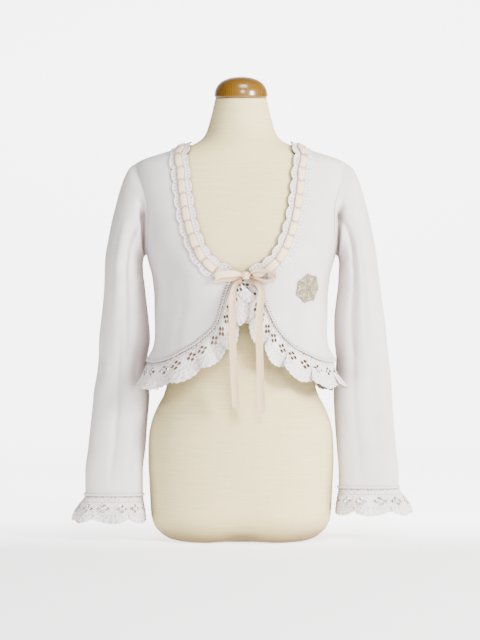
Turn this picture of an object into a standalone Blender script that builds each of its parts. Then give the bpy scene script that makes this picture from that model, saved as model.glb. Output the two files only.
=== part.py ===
"""Knitted shrug with crochet lace, threaded ribbon and bow, on a limbless dress form.

Metres, +Z up, the front towards -Y. The form stands on its flat base at the origin.
The wearer's left is +X. Tables are in millimetres and degrees, as a maker notes them.
"""

import math
from bisect import bisect_right
from collections import namedtuple

import bpy
from mathutils import Vector, geometry

MM = 0.001

# Walls, and the gaps that pieces keep at their seams.
KNIT = 1.6 * MM
LACE = 1.2 * MM
RIBBON = 0.9 * MM
SEAM_GAP = 0.35 * MM
LAY_GAP = 0.9 * MM

# How finely each piece is divided.
FORM_SIDES = 28
SEAM_ROWS = 6
ARMHOLE_ROWS = 12
FRONT_COLUMNS = 9
BACK_COLUMNS = 8
CAP_SIDES = 20

# The body, from the base up: the form's half width and depths, how square the section is,
# and how far the knit hangs off it at the side, in front and behind.
Section = namedtuple("Section", "height width front back square ease_side ease_front ease_back")
TORSO = [
    Section(0, 112, 66, 74, 2.3, 0, 0, 0),
    Section(3, 124, 74, 84, 2.3, 0, 0, 0),
    Section(12, 138, 82, 94, 2.3, 0, 0, 0),
    Section(24, 149, 88, 101, 2.3, 0, 0, 0),
    Section(43, 155, 92, 106, 2.3, 0, 0, 0),
    Section(95, 158, 95, 112, 2.3, 0, 0, 0),
    Section(140, 160, 97, 115, 2.3, 0, 0, 0),
    Section(178, 159, 97, 113, 2.3, 0, 0, 0),
    Section(205, 154, 95, 106, 2.3, 2, 12, 14),
    Section(230, 144, 91, 98, 2.2, 14, 18, 20),
    Section(251, 133, 87, 90, 2.15, 23, 24, 26),
    Section(301, 121, 81, 78, 2.1, 37, 28, 30),
    Section(313, 120, 80, 77, 2.1, 39, 27, 30),
    Section(330, 119, 80, 75, 2.1, 32, 26, 29),
    Section(344, 120, 82, 75, 2.1, 28, 25, 28),
    Section(396, 129, 92, 78, 2.2, 19, 16, 20),
    Section(430, 138, 106, 83, 2.35, 11, 7, 12),
    Section(460, 145, 113, 88, 2.5, 8, 2, 6),
    Section(490, 152, 110, 92, 2.6, 9, 2.8, 3),
    Section(540, 162, 101, 98, 2.8, 8, 1.5, 1.5),
    Section(580, 170, 90, 98, 2.8, 6.5, 1.5, 1.5),
    Section(610, 176, 81, 94, 2.7, 5.5, 1.5, 1.5),
    Section(632, 178.5, 74, 88, 2.5, 5.0, 1.5, 1.5),
    Section(646, 175.5, 70, 83, 2.3, 6.0, 1.5, 1.5),
    Section(651, 169.5, 69, 81, 2.2, 6.0, 1.5, 1.5),
    Section(656, 159.5, 68, 79, 2.15, 6.0, 1.5, 1.5),
    Section(661, 144.5, 66.5, 76, 2.1, 6.0, 1.5, 1.5),
    Section(670, 115.5, 64, 71, 2.05, 6.0, 1.5, 1.5),
    Section(680, 87.5, 60, 66, 2.0, 6.0, 1.5, 1.5),
    Section(688, 71.5, 56, 62, 2.0, 6.0, 1.5, 1.5),
    Section(697, 63, 52, 59, 2.0, 6.0, 1.5, 1.5),
    Section(708, 58, 50, 56, 2.0, 6.0, 1.5, 1.5),
    Section(722, 54, 48, 53, 2.0, 6.0, 1.5, 1.5),
    Section(741, 49, 46, 50, 2.0, 6.0, 1.5, 1.5),
    Section(764, 44, 44, 46, 2.0, 6.0, 1.5, 1.5),
]
BUST = {"turn": 27.0, "height": 463.0, "wide": 15.0, "tall": 38.0, "rise": 6.0}
THIGH_GROOVE = {"wide": 17.0, "tall": 60.0, "deep": 9.0, "lift": 8.0}
BASE_FLAT = 0.62
FORM_SKIPS = (95, 205, 313, 330, 344, 540, 610, 651, 656, 708)

# The neck's top leans forward, and the varnished cap sits on it.
NECK_LEAN = 8.0
NECK_LEAN_FROM = 705.0
NeckRing = namedtuple("NeckRing", "rise share")
CAP_PROFILE = [
    NeckRing(0.3, 0.93),
    NeckRing(0.3, 1.02),
    NeckRing(3.0, 1.05),
    NeckRing(12.0, 1.02),
    NeckRing(22.0, 0.90),
    NeckRing(30.0, 0.66),
    NeckRing(34.5, 0.34),
]
CAP_TOP = 36.0

# Soft folds in the knit body: a trough or, where deep is negative, a ridge.
Fold = namedtuple("Fold", "turn height lean wide tall deep")
BODY_FOLDS = [
    Fold(-62, 455, 1.2, 10, 40, 2.6),
    Fold(-48, 415, 0.8, 9, 42, 2.0),
    Fold(30, 360, -0.2, 8, 50, 2.6),
    Fold(46, 372, -0.1, 9, 55, -2.2),
    Fold(-30, 372, 0.2, 9, 45, 1.8),
    Fold(66, 430, -0.9, 9, 50, 2.2),
    Fold(138, 400, 0.3, 10, 75, 2.8),
    Fold(182, 372, 0.0, 9, 80, 2.4),
    Fold(224, 405, -0.3, 10, 75, 2.8),
]

# The knit's neckline, from the closure up to the shoulder, and its drop at the back.
EdgePoint = namedtuple("EdgePoint", "across height")
NECKLINE = [
    EdgePoint(17, 455),
    EdgePoint(30, 461),
    EdgePoint(48, 470),
    EdgePoint(65, 490),
    EdgePoint(78, 520),
    EdgePoint(88, 556),
    EdgePoint(95, 600),
    EdgePoint(98, 640),
    EdgePoint(97, 672),
]
SHOULDER_NECK = 679.0
BACK_NECKLINE = [
    EdgePoint(96, 674),
    EdgePoint(90, 666),
    EdgePoint(76, 660),
    EdgePoint(52, 656),
    EdgePoint(26, 654),
]
BACK_NECK = 653.5

# Where each front is cut away, from the closure down and round to the side seam.
CUTAWAY = {
    "right": [
        EdgePoint(17, 455),
        EdgePoint(26, 434),
        EdgePoint(35, 405),
        EdgePoint(43, 376),
        EdgePoint(70, 348),
        EdgePoint(98, 329),
        EdgePoint(122, 316),
        EdgePoint(145, 311),
    ],
    "left": [
        EdgePoint(17, 455),
        EdgePoint(36, 432),
        EdgePoint(47, 400),
        EdgePoint(61, 370),
        EdgePoint(83, 344),
        EdgePoint(108, 325),
        EdgePoint(130, 315),
        EdgePoint(148, 312),
    ],
}
SIDE_HEM = 313.0

# The armhole, from the underarm up to the shoulder tip.
UNDERARM = 494.0
SHOULDER_TIP = 651.0
ARMHOLE_FRONT = 34.0
ARMHOLE_BACK = 37.0

# The sleeve. Rings fan round the underarm, then lie level down to the cuff.
FanRing = namedtuple("FanRing", "inner_x inner_z outer_x outer_z depth")
SLEEVE_FAN = [
    FanRing(164, 494, 183, 652, 56),
    FanRing(166.5, 492, 195, 644, 56),
    FanRing(168.2, 488.5, 204, 626, 57),
    FanRing(169.2, 484, 211, 603, 58),
    FanRing(169.6, 478, 217, 577, 58),
    FanRing(169.6, 471, 224, 546, 58),
    FanRing(169.0, 463, 230, 515, 57),
    FanRing(168.5, 454, 235, 483, 56),
]
SleeveRing = namedtuple("SleeveRing", "height right_x right_half left_x left_half forward depth")
SLEEVE_RINGS = [
    SleeveRing(434, 201.5, 35.5, 204.5, 37, -6, 55),
    SleeveRing(404, 201.5, 38.5, 205, 41, -13, 52),
    SleeveRing(374, 202, 42, 206.5, 44.5, -20, 48),
    SleeveRing(344, 203, 44.5, 208.5, 45.5, -26, 44),
    SleeveRing(314, 205.5, 43, 211.5, 46, -30, 39),
    SleeveRing(284, 207.5, 44.5, 212.5, 48.5, -30, 36),
    SleeveRing(246, 208, 49, 212, 51, -19, 32),
    SleeveRing(202, 211, 49, 213.5, 51, -3, 28),
    SleeveRing(160, 214, 49.5, 216, 51, 11, 25),
    SleeveRing(118, 218, 49.5, 219, 51.5, 23, 22.5),
]
CUFF = {"right": 78.0, "left": 91.0}
# The ring at which the sleeve's halves part across, counted from the armhole.
ELBOW_RING = 14

# Long soft creases down each sleeve. Place runs from -1 at the body to 1 at the outside.
Crease = namedtuple("Crease", "side face top top_place bottom bottom_place wide deep")
CREASES = [
    Crease("left", "front", 640, -0.15, 270, -0.45, 0.20, 6.0),
    Crease("left", "front", 420, 0.45, 120, 0.35, 0.24, 2.4),
    Crease("left", "back", 600, 0.20, 220, -0.10, 0.24, 4.0),
    Crease("right", "front", 660, -0.20, 330, 0.05, 0.22, 3.4),
    Crease("right", "front", 330, 0.30, 120, -0.10, 0.26, 2.6),
    Crease("right", "back", 610, -0.10, 240, 0.20, 0.24, 4.0),
]

# Crochet lace: clusters of four holes, fans and scallops, two clusters to a scallop.
CLUSTER = 22.5
HOLE_OUT = 2.9
HOLE_ACROSS = 4.8
HOLE_UP = 5.0
HOLE_ROW = 21.0
FAN_ROW = 37.0
HEM_DEPTH = 57.0
CUFF_DEPTH = 51.0
SCALLOP = 10.0
CLUSTERS = {"front": 12, "back": 20, "cuff": 12}
HEM_WAVE = 6.5
CUFF_WAVE = 4.5
CUFF_FLARE = {"outside": 0.44, "body": 0.10, "front": 0.62, "power": 1.2, "droop": 0.1}
LACE_START = 0.07
LACE_DROOP = 0.004
LaceHang = namedtuple("LaceHang", "along lean lift")
FRONT_HANG = [
    LaceHang(0.0, 50, 1.0),
    LaceHang(0.2, 42, 2.0),
    LaceHang(0.4, 26, 6.0),
    LaceHang(0.6, 14, 13.0),
    LaceHang(0.78, 6, 24.0),
    LaceHang(0.90, 0, 31.0),
    LaceHang(1.0, 0, 3.0),
]
BACK_HANG = [
    LaceHang(0.0, 0, 1.0),
    LaceHang(0.12, 0, 2.0),
    LaceHang(0.28, 0, 16.0),
    LaceHang(0.5, 0, 20.0),
    LaceHang(0.72, 0, 16.0),
    LaceHang(0.88, 0, 2.0),
    LaceHang(1.0, 0, 1.0),
]
TOP_LAYER = {"right": 4.0, "left": 0.0}

# The neck trim, its ribbon, and the bow.
TRIM_HALF = 15.5
TRIM_SCALLOP = 2.6
TRIM_OFF_EDGE = 4.0
TRIM_REPEATS = 38
THREADED_HALF = 6.0
PUFF = 1.8
BOW_WIDTH = 12.0
KNOT = {"x": 8.0, "z": 453.0, "off": 6.8, "half_x": 5.5, "half_z": 6.5, "half_y": 4.0}
RibbonPoint = namedtuple("RibbonPoint", "x off z")
LOOP_TILT = {"right": (-0.25, 1.0), "left": (-1.0, 0.45)}
TAILS = {
    "right": [
        RibbonPoint(1.0, 7.6, 445),
        RibbonPoint(-9.0, 11.1, 438),
        RibbonPoint(-13.5, 13.6, 422),
        RibbonPoint(-14.5, 15.1, 395),
        RibbonPoint(-14.0, 16.6, 350),
        RibbonPoint(-11.5, 16.6, 290),
        RibbonPoint(-8.0, 15.6, 234),
    ],
    "left": [
        RibbonPoint(14.5, 7.0, 445),
        RibbonPoint(26.0, 10.5, 440),
        RibbonPoint(34.5, 13.0, 425),
        RibbonPoint(31.5, 14.5, 395),
        RibbonPoint(30.5, 16.0, 350),
        RibbonPoint(32.0, 16.0, 290),
        RibbonPoint(34.5, 15.0, 225),
    ],
}
LOOPS = {
    "right": [
        RibbonPoint(2.7, 9.1, 454),
        RibbonPoint(-12.0, 12.1, 456),
        RibbonPoint(-30.0, 13.1, 455),
        RibbonPoint(-41.0, 11.6, 452),
        RibbonPoint(-43.5, 9.1, 448.5),
        RibbonPoint(-40.0, 6.8, 447),
        RibbonPoint(-26.0, 6.2, 448),
        RibbonPoint(-10.0, 6.6, 450),
        RibbonPoint(2.1, 6.8, 450.5),
    ],
    "left": [
        RibbonPoint(13.6, 7.8, 455.5),
        RibbonPoint(26.0, 12.0, 461.0),
        RibbonPoint(42.0, 13.5, 460.5),
        RibbonPoint(54.0, 14.0, 455.0),
        RibbonPoint(57.5, 13.8, 449.0),
        RibbonPoint(52.5, 13.0, 443.8),
        RibbonPoint(40.0, 12.0, 443.0),
        RibbonPoint(26.0, 10.5, 446.5),
        RibbonPoint(14.3, 7.4, 450.0),
    ],
}

# The embroidered flower on the chest, a round outline with petals, as a low raised patch.
SPRAY = {"turn": 45.0, "height": 433.0, "radius": 23.0, "petals": 7, "petal": 4.0}
SPRAY_THICK = 0.8 * MM

Finish = namedtuple("Finish", "colour roughness")
FINISHES = {
    "knit": Finish((0.80, 0.77, 0.76), 0.85),
    "lace": Finish((0.78, 0.74, 0.73), 0.90),
    "satin": Finish((0.87, 0.77, 0.69), 0.35),
    "linen": Finish((0.79, 0.76, 0.64), 0.90),
    "wood": Finish((0.62, 0.37, 0.14), 0.20),
    "gold": Finish((0.52, 0.45, 0.30), 0.50),
}


def spline(xs, ys):
    """A smooth curve through the values, which never overshoots between two of them."""
    steps = [after - before for before, after in zip(xs, xs[1:])]
    rises = [(after - before) / step for before, after, step in zip(ys, ys[1:], steps)]
    slopes = [rises[0]]
    for before, after in zip(rises, rises[1:]):
        turns = before * after <= 0
        slopes.append(0.0 if turns else 2 * before * after / (before + after))
    slopes.append(rises[-1])

    def value(x):
        x = min(max(x, xs[0]), xs[-1])
        i = min(bisect_right(xs, x) - 1, len(steps) - 1)
        t = (x - xs[i]) / steps[i]
        bend = t * t * (3 - 2 * t)
        start = t * (1 - t) ** 2 * slopes[i] * steps[i]
        end = t * t * (t - 1) * slopes[i + 1] * steps[i]
        return ys[i] + (ys[i + 1] - ys[i]) * bend + start + end

    return value


def columns(rows):
    """One spline for each named column of a table, over its first column."""
    names = rows[0]._fields
    along = [row[0] for row in rows]
    return {name: spline(along, [getattr(row, name) for row in rows]) for name in names[1:]}


def path(points):
    """A smooth path through points, from 0 to 1 by length."""
    along = [0.0]
    for before, after in zip(points, points[1:]):
        along.append(along[-1] + math.dist(before, after))
    curves = [spline([step / along[-1] for step in along], list(axis)) for axis in zip(*points)]
    return lambda t: tuple(curve(t) for curve in curves)


def bell(distance, wide):
    return math.exp(-((distance / wide) ** 2))


def fade(value, start, end):
    """0 at start, 1 at end, smooth between them."""
    t = min(max((value - start) / (end - start), 0.0), 1.0)
    return t * t * (3 - 2 * t)


TORSO_AT = columns(TORSO)


def bust(turn, height):
    rise = bell(height - BUST["height"], BUST["tall"]) * BUST["rise"]
    return rise * sum(bell(turn - side * BUST["turn"], BUST["wide"]) for side in (-1, 1))


def body_fold(turn, height):
    """How far the folds draw the knit in at this place."""
    turn = (turn + 90) % 360 - 90
    depth = 0.0
    for fold in BODY_FOLDS:
        down = height - fold.height
        across = turn - fold.turn - fold.lean * down * 0.1
        depth += fold.deep * bell(across, fold.wide) * bell(down, fold.tall)
    return depth


def torso(turn, height, ease=0.0):
    """A point of the body, in metres: turn is 0 in front, 90 at the wearer's left side."""
    angle = math.radians(turn)
    across, ahead = math.sin(angle), math.cos(angle)
    face = "front" if ahead > 0 else "back"
    square = TORSO_AT["square"](height)
    corner = (abs(across) ** square + abs(ahead) ** square) ** (-1 / square)
    width = TORSO_AT["width"](height) + ease * TORSO_AT["ease_side"](height)
    depth = TORSO_AT[face](height) + ease * TORSO_AT["ease_" + face](height)
    if ahead > 0:
        depth += bust((turn + 180) % 360 - 180, height)
    x, y = width * corner * across, -depth * corner * ahead
    return Vector((x, y, height)) * MM


def on_body(turn, height, out, ease=1.0):
    """The point that lies out from the body here, and the direction straight out."""
    step = 0.4
    side = torso(turn + step, height, ease) - torso(turn - step, height, ease)
    rise = torso(turn, height + step, ease) - torso(turn, height - step, ease)
    outward = side.cross(rise).normalized()
    if ease:
        out = out - body_fold(turn, height) * MM
    return torso(turn, height, ease) + outward * out, outward


def walk(turn, height, heading, distance):
    """Goes a distance in millimetres over the knit's surface, along or down it."""
    steps = 4
    for _ in range(steps):
        here = torso(turn, height, 1.0)
        side = (torso(turn + 0.5, height, 1.0) - here) / MM / 0.5
        rise = (torso(turn, height + 0.5, 1.0) - here) / MM / 0.5
        along = side.normalized()
        up = (rise - along * rise.dot(along)).normalized()
        wanted = along * heading[0] + up * heading[1]
        climb = wanted.dot(up) / rise.dot(up)
        turned = (wanted.dot(along) - climb * rise.dot(along)) / side.length
        turn += turned * distance / steps
        height += climb * distance / steps
    return turn, height


def turn_at(across, height, centre=0.0):
    """The turn at which a face lies this far from its centre, which is at 0 or at 180."""
    low, high = centre, 90.0
    for _ in range(40):
        middle = (low + high) / 2
        if torso(middle, height, 1.0).x / MM < across:
            low = middle
        else:
            high = middle
    return low


def material(name):
    found = bpy.data.materials.get(name)
    if found:
        return found
    finish = FINISHES[name]
    made = bpy.data.materials.new(name)
    made.use_nodes = True
    shader = made.node_tree.nodes["Principled BSDF"]
    shader.inputs["Base Color"].default_value = (*finish.colour, 1.0)
    shader.inputs["Roughness"].default_value = finish.roughness
    made.diffuse_color = (*finish.colour, 1.0)
    return made


def volume(points, faces):
    """Six times the signed volume inside the faces: below 0 where they point inwards."""
    total = 0.0
    for face in faces:
        first = points[face[0]]
        for b, c in zip(face[1:], face[2:]):
            total += first.dot(points[b].cross(points[c]))
    return total


def add_object(name, points, faces, finish):
    if volume(points, faces) < 0:
        faces = [tuple(reversed(face)) for face in faces]
    mesh = bpy.data.meshes.new(name)
    mesh.from_pydata([tuple(point) for point in points], [], faces)
    mesh.validate()
    made = bpy.data.objects.new(name, mesh)
    made.data.materials.append(material(finish))
    bpy.context.scene.collection.objects.link(made)
    mesh.shade_smooth()
    mesh.set_sharp_from_angle(angle=math.radians(40))
    return made


def add_skins(name, outer, inner, faces, finish):
    """A closed wall. The faces join the outer points, and the same ones the inner points."""
    count = len(outer)
    closed = faces + [tuple(count + i for i in reversed(face)) for face in faces]
    sides = {(face[i - 1], face[i]) for face in faces for i in range(len(face))}
    for a, b in sorted(sides):
        if (b, a) not in sides:
            closed.append((b, a, count + a, count + b))
    return add_object(name, outer + inner, closed, finish)


def grid_faces(rows, cols):
    faces = []
    for j in range(rows - 1):
        for i in range(cols - 1):
            a = j * cols + i
            faces.append((a, a + 1, a + 1 + cols, a + cols))
    return faces


def add_wall(name, outer, inner, finish):
    """A wall between two grids of points, lists of rows of the same size."""
    faces = grid_faces(len(outer), len(outer[0]))
    return add_skins(name, sum(outer, []), sum(inner, []), faces, finish)


def inside(point, loop):
    """Whether a flat point lies inside a closed outline."""
    found = False
    for (ax, ay), (bx, by) in zip(loop, loop[1:] + loop[:1]):
        if (ay > point[1]) != (by > point[1]):
            if point[0] < (bx - ax) * (point[1] - ay) / (by - ay) + ax:
                found = not found
    return found


def add_sheet(name, outline, holes, bends, place, finish):
    """A wall cut from a flat outline with holes. Place puts a flat point in space, by side."""
    flat, edges = [], []
    for loop in [outline] + holes:
        first = len(flat)
        flat += loop
        count = len(loop)
        edges += [(first + i, first + (i + 1) % count) for i in range(count)]
    flat += bends
    found = geometry.delaunay_2d_cdt([Vector(point) for point in flat], edges, [], 0, 1e-7)
    spots = [tuple(point) for point in found[0]]
    kept = []
    for face in found[2]:
        middle = [sum(spots[i][axis] for i in face) / len(face) for axis in (0, 1)]
        if inside(middle, outline) and not any(inside(middle, hole) for hole in holes):
            kept.append(tuple(face))
    outer = [place(s, v, True) for s, v in spots]
    inner = [place(s, v, False) for s, v in spots]
    return add_skins(name, outer, inner, kept, finish)


def lean_neck(point):
    """Leans the neck's top forward, as its rim is in front view."""
    share = fade(point.z / MM, NECK_LEAN_FROM, TORSO[-1].height)
    return point + Vector((0, 0, share * math.tan(math.radians(NECK_LEAN)) * point.y))


def form_ring(height):
    """One ring of the form. Near the base a groove parts the thighs, front and back."""
    ring = []
    groove = bell(height, THIGH_GROOVE["tall"])
    for i in range(FORM_SIDES):
        turn = 360 * i / FORM_SIDES
        near = bell((turn + 90) % 180 - 90, THIGH_GROOVE["wide"])
        point = torso(turn, height)
        point.y *= 1 - near * groove * THIGH_GROOVE["deep"] / 90
        point.z += near * bell(height, 14) * THIGH_GROOVE["lift"] * MM
        ring.append(lean_neck(point))
    return ring


def form_heights():
    """The table's heights, less those that the form can do without."""
    return [row.height for row in TORSO if row.height not in FORM_SKIPS]


def add_form():
    foot = [torso(360 * i / FORM_SIDES, 0) * BASE_FLAT for i in range(FORM_SIDES)]
    rings = [foot] + [form_ring(height) for height in form_heights()]
    count = FORM_SIDES
    points = [point for ring in rings for point in ring]
    faces = [tuple(reversed(range(count)))]
    for j in range(len(rings) - 1):
        for i in range(count):
            a, b = j * count + i, j * count + (i + 1) % count
            faces.append((a, b, b + count, a + count))
    last = (len(rings) - 1) * count
    faces.append(tuple(range(last, last + count)))
    return add_object("dress_form", points, faces, "linen")


def add_cap():
    """The turned wooden cap, on the leaning top of the neck."""
    top = TORSO[-1]
    lean = math.radians(NECK_LEAN)
    middle = Vector((0, (top.back - top.front) / 2, top.height)) * MM
    middle.z += math.tan(lean) * middle.y
    ahead = Vector((0, -math.cos(lean), -math.sin(lean)))
    up = Vector((0, -math.sin(lean), math.cos(lean)))
    half = (top.front + top.back) / 2
    points = []
    for ring in CAP_PROFILE:
        for i in range(CAP_SIDES):
            angle = 2 * math.pi * i / CAP_SIDES
            side = Vector((math.sin(angle) * top.width, 0, 0))
            reach = (side + ahead * math.cos(angle) * half) * ring.share
            points.append(middle + reach * MM + up * ring.rise * MM)
    points.append(middle + up * CAP_TOP * MM)
    count = CAP_SIDES
    faces = [tuple(reversed(range(count)))]
    for j in range(len(CAP_PROFILE) - 1):
        for i in range(count):
            a, b = j * count + i, j * count + (i + 1) % count
            faces.append((a, b, b + count, a + count))
    last = (len(CAP_PROFILE) - 1) * count
    faces += [(last + i, last + (i + 1) % count, len(points) - 1) for i in range(count)]
    return add_object("neck_cap", points, faces, "wood")


def neckline_point(t):
    """The front neckline from the closure, 0, to the shoulder, 1, as turn and height."""
    spots = [(turn_at(point.across, point.height), point.height) for point in NECKLINE]
    scale = 1.6
    curve = path([(turn * scale, height) for turn, height in spots + [(90, SHOULDER_NECK)]])
    turn, height = curve(t)
    return turn / scale, height


def cutaway_point(side, t):
    """The cut-away edge and hem from the closure, 0, to the side seam, 1."""
    spots = [(turn_at(point.across, point.height), point.height) for point in CUTAWAY[side]]
    scale = 1.6
    curve = path([(turn * scale, height) for turn, height in spots + [(90, SIDE_HEM)]])
    turn, height = curve(t)
    return turn / scale, height


def armhole_point(t, swing):
    """The armhole from the underarm, 0, to the shoulder tip, 1, swinging off the side."""
    height = UNDERARM + (SHOULDER_TIP - UNDERARM) * (1 - math.cos(math.pi * t)) / 2
    return 90 + swing * math.sin(math.pi * t) ** 0.9, height


def seam_turn(height):
    """Half a seam gap at the side, as a turn."""
    return math.degrees(SEAM_GAP / 2 / torso(0, height, 1.0).length)


def outer_edge(swing):
    """The side seam and armhole, upwards. Swing is negative on a front, positive on a back."""
    sign = math.copysign(1, swing)
    rows = []
    for j in range(SEAM_ROWS):
        height = SIDE_HEM + (UNDERARM - SIDE_HEM) * j / SEAM_ROWS
        rows.append((90 + sign * seam_turn(height), height))
    for j in range(ARMHOLE_ROWS + 1):
        turn, height = armhole_point(j / ARMHOLE_ROWS, swing)
        rows.append((turn + sign * seam_turn(height), height))
    return rows


def panel(inner, outer, low, high):
    """Turn and height all over a panel, from its four edges."""
    rows, cols = len(inner), len(low)
    spots = []
    for j in range(rows):
        up = j / (rows - 1)
        row = []
        for i in range(cols):
            across = i / (cols - 1)
            spot = []
            for axis in (0, 1):
                straight = inner[j][axis] * (1 - across) + outer[j][axis] * across
                base = inner[0][axis] * (1 - across) + outer[0][axis] * across
                crown = inner[-1][axis] * (1 - across) + outer[-1][axis] * across
                bend = (low[i][axis] - base) * (1 - up) ** 2 + (high[i][axis] - crown) * up**2
                spot.append(straight + bend)
            row.append(tuple(spot))
        spots.append(row)
    return spots


def shoulder_edge(count, sign):
    """The shoulder seam from the neck out to the tip."""
    spots = []
    for i in range(count + 1):
        height = SHOULDER_NECK + (SHOULDER_TIP - SHOULDER_NECK) * i / count
        spots.append((90 + sign * seam_turn(height), height))
    return spots


def front_spots(side):
    rows = SEAM_ROWS + ARMHOLE_ROWS
    outer = outer_edge(-ARMHOLE_FRONT)
    inner = [neckline_point(j / rows) for j in range(rows + 1)]
    inner[-1] = (90 - seam_turn(SHOULDER_NECK), SHOULDER_NECK)
    low = [cutaway_point(side, i / FRONT_COLUMNS) for i in range(FRONT_COLUMNS + 1)]
    low[-1] = outer[0]
    return panel(inner, outer, low, shoulder_edge(FRONT_COLUMNS, -1))


def back_neckline_point(t):
    """The back neckline from the shoulder, 0, to the middle of the back, 1."""
    spots = [(turn_at(point.across, point.height, 180.0), point.height) for point in BACK_NECKLINE]
    spots = [(90, SHOULDER_NECK)] + spots + [(180, BACK_NECK)]
    scale = 1.6
    curve = path([(turn * scale, height) for turn, height in spots])
    turn, height = curve(t)
    return turn / scale, height


def back_spots():
    """The left half of the back, from its middle out."""
    rows = SEAM_ROWS + ARMHOLE_ROWS
    outer = outer_edge(ARMHOLE_BACK)
    neck_rows = 7
    inner = []
    for j in range(rows - neck_rows):
        height = SIDE_HEM + (BACK_NECK - SIDE_HEM) * j / (rows - neck_rows)
        inner.append((180.0, height))
    for j in range(neck_rows + 1):
        inner.append(back_neckline_point((1 - j / neck_rows) ** 1.3))
    inner[-1] = (90 + seam_turn(SHOULDER_NECK), SHOULDER_NECK)
    low = [(180 - 90 * i / BACK_COLUMNS, SIDE_HEM) for i in range(BACK_COLUMNS + 1)]
    low[-1] = outer[0]
    return panel(inner, outer, low, shoulder_edge(BACK_COLUMNS, 1))


def mirrored(spots):
    return [[(-turn, height) for turn, height in reversed(row)] for row in spots]


def add_panel(name, halves):
    """A knit panel on the body. Halves share the points where their spots are the same."""
    places, spots, faces = {}, [], []
    for half in halves:
        for spot in sum(half, []):
            key = (round(spot[0], 4), round(spot[1], 4))
            if key not in places:
                places[key] = len(spots)
                spots.append(spot)
        index = [places[(round(turn, 4), round(height, 4))] for turn, height in sum(half, [])]
        for face in grid_faces(len(half), len(half[0])):
            faces.append(tuple(index[i] for i in face))
    outer = [on_body(turn, height, KNIT)[0] for turn, height in spots]
    inner = [on_body(turn, height, 0.0)[0] for turn, height in spots]
    return add_skins(name, outer, inner, faces, "knit")


def add_body():
    add_panel("front_left", [front_spots("left")])
    add_panel("front_right", [mirrored(front_spots("right"))])
    half = back_spots()
    other = [[(360 - turn, height) for turn, height in reversed(row)] for row in half]
    add_panel("back", [half, other])


def crease_depth(side, ring_angle, height):
    """How far the long creases draw a sleeve in at this place, in millimetres."""
    place, front = math.cos(ring_angle), math.sin(ring_angle) > 0
    depth = 0.0
    for crease in CREASES:
        if crease.side != side or (crease.face == "front") != front:
            continue
        share = (crease.top - height) / (crease.top - crease.bottom)
        centre = crease.top_place + (crease.bottom_place - crease.top_place) * share
        length = fade(share, -0.05, 0.2) * (1 - fade(share, 0.75, 1.1))
        depth += crease.deep * length * bell(place - centre, crease.wide)
    return depth * abs(math.sin(ring_angle))


def ring_angles():
    """Round a sleeve from the underarm, by the front, over the top and down the back."""
    steps = 2 * ARMHOLE_ROWS
    return [math.pi - 2 * math.pi * i / steps for i in range(steps)]


def sleeve_ring(side, row):
    """Centre, half chord from underarm to top, forward half depth, for a ring's row."""
    sign = 1 if side == "left" else -1
    if isinstance(row, FanRing):
        low = Vector((sign * row.inner_x, 0, row.inner_z)) * MM
        top = Vector((sign * row.outer_x, 0, row.outer_z)) * MM
        return (low + top) / 2, (top - low) / 2, row.depth * MM
    x, half = getattr(row, side + "_x"), getattr(row, side + "_half")
    centre = Vector((sign * x, -row.forward, row.height)) * MM
    return centre, Vector((sign * half, 0, 0)) * MM, row.depth * MM


def sleeve_rows(side):
    """All of a sleeve's rows, with the cuff's own as the last."""
    last = SLEEVE_RINGS[-1]
    return SLEEVE_FAN + SLEEVE_RINGS + [last._replace(height=CUFF[side])]


def armhole_loop(side):
    """For each ring point: the body's edge point, out of it, and away from the cloth."""
    sign = 1 if side == "left" else -1
    loop = []
    for i in range(2 * ARMHOLE_ROWS):
        t = i / ARMHOLE_ROWS
        swing = -ARMHOLE_FRONT if t <= 1 else ARMHOLE_BACK
        t = t if t <= 1 else 2 - t
        turn, height = armhole_point(t, swing)
        point, out = on_body(sign * turn, height, 0.0)
        middle = on_body(sign * 90, (UNDERARM + SHOULDER_TIP) / 2, 0.0)[0]
        away = middle - point
        away = (away - out * away.dot(out)).normalized()
        loop.append((point, out, away, 1 - t))
    return loop


def first_ring(side):
    """The sleeve's rim at the armhole, butted at the shoulder and lapped under the arm."""
    outer, inner = [], []
    for point, out, away, low in armhole_loop(side):
        lap = fade(low, 0.25, 0.9)
        room = 0.5 * KNIT * math.sin(math.pi * lap)
        up = KNIT + SEAM_GAP * lap + room
        off = SEAM_GAP * (1 - lap) - KNIT * lap + room
        outer.append(point + out * up + away * off)
        up = (KNIT + SEAM_GAP) * lap + room
        off = SEAM_GAP * (1 - lap) + room
        inner.append(point + out * up + away * off)
    return outer, inner


def sleeve_rings(side):
    """The sleeve's outer rings, below the rim at the armhole."""
    rows = sleeve_rows(side)
    angles = ring_angles()
    rim = first_ring(side)[0]
    centre, chord, depth = sleeve_ring(side, rows[0])
    plain = [
        centre + chord * math.cos(angle) - Vector((0, depth * math.sin(angle), 0))
        for angle in angles
    ]
    rings = [rim]
    blend_rows = 5
    for j, row in enumerate(rows[1:], 1):
        centre, chord, depth = sleeve_ring(side, row)
        keep = 1 - fade(j, 0, blend_rows)
        ring = []
        for i, angle in enumerate(angles):
            reach = chord * math.cos(angle) - Vector((0, depth * math.sin(angle), 0))
            point = centre + reach + (rim[i] - plain[i]) * keep
            depth_in = crease_depth(side, angle, point.z / MM) * MM
            ring.append(point - reach.normalized() * depth_in)
        rings.append(ring)
    return rings


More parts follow.
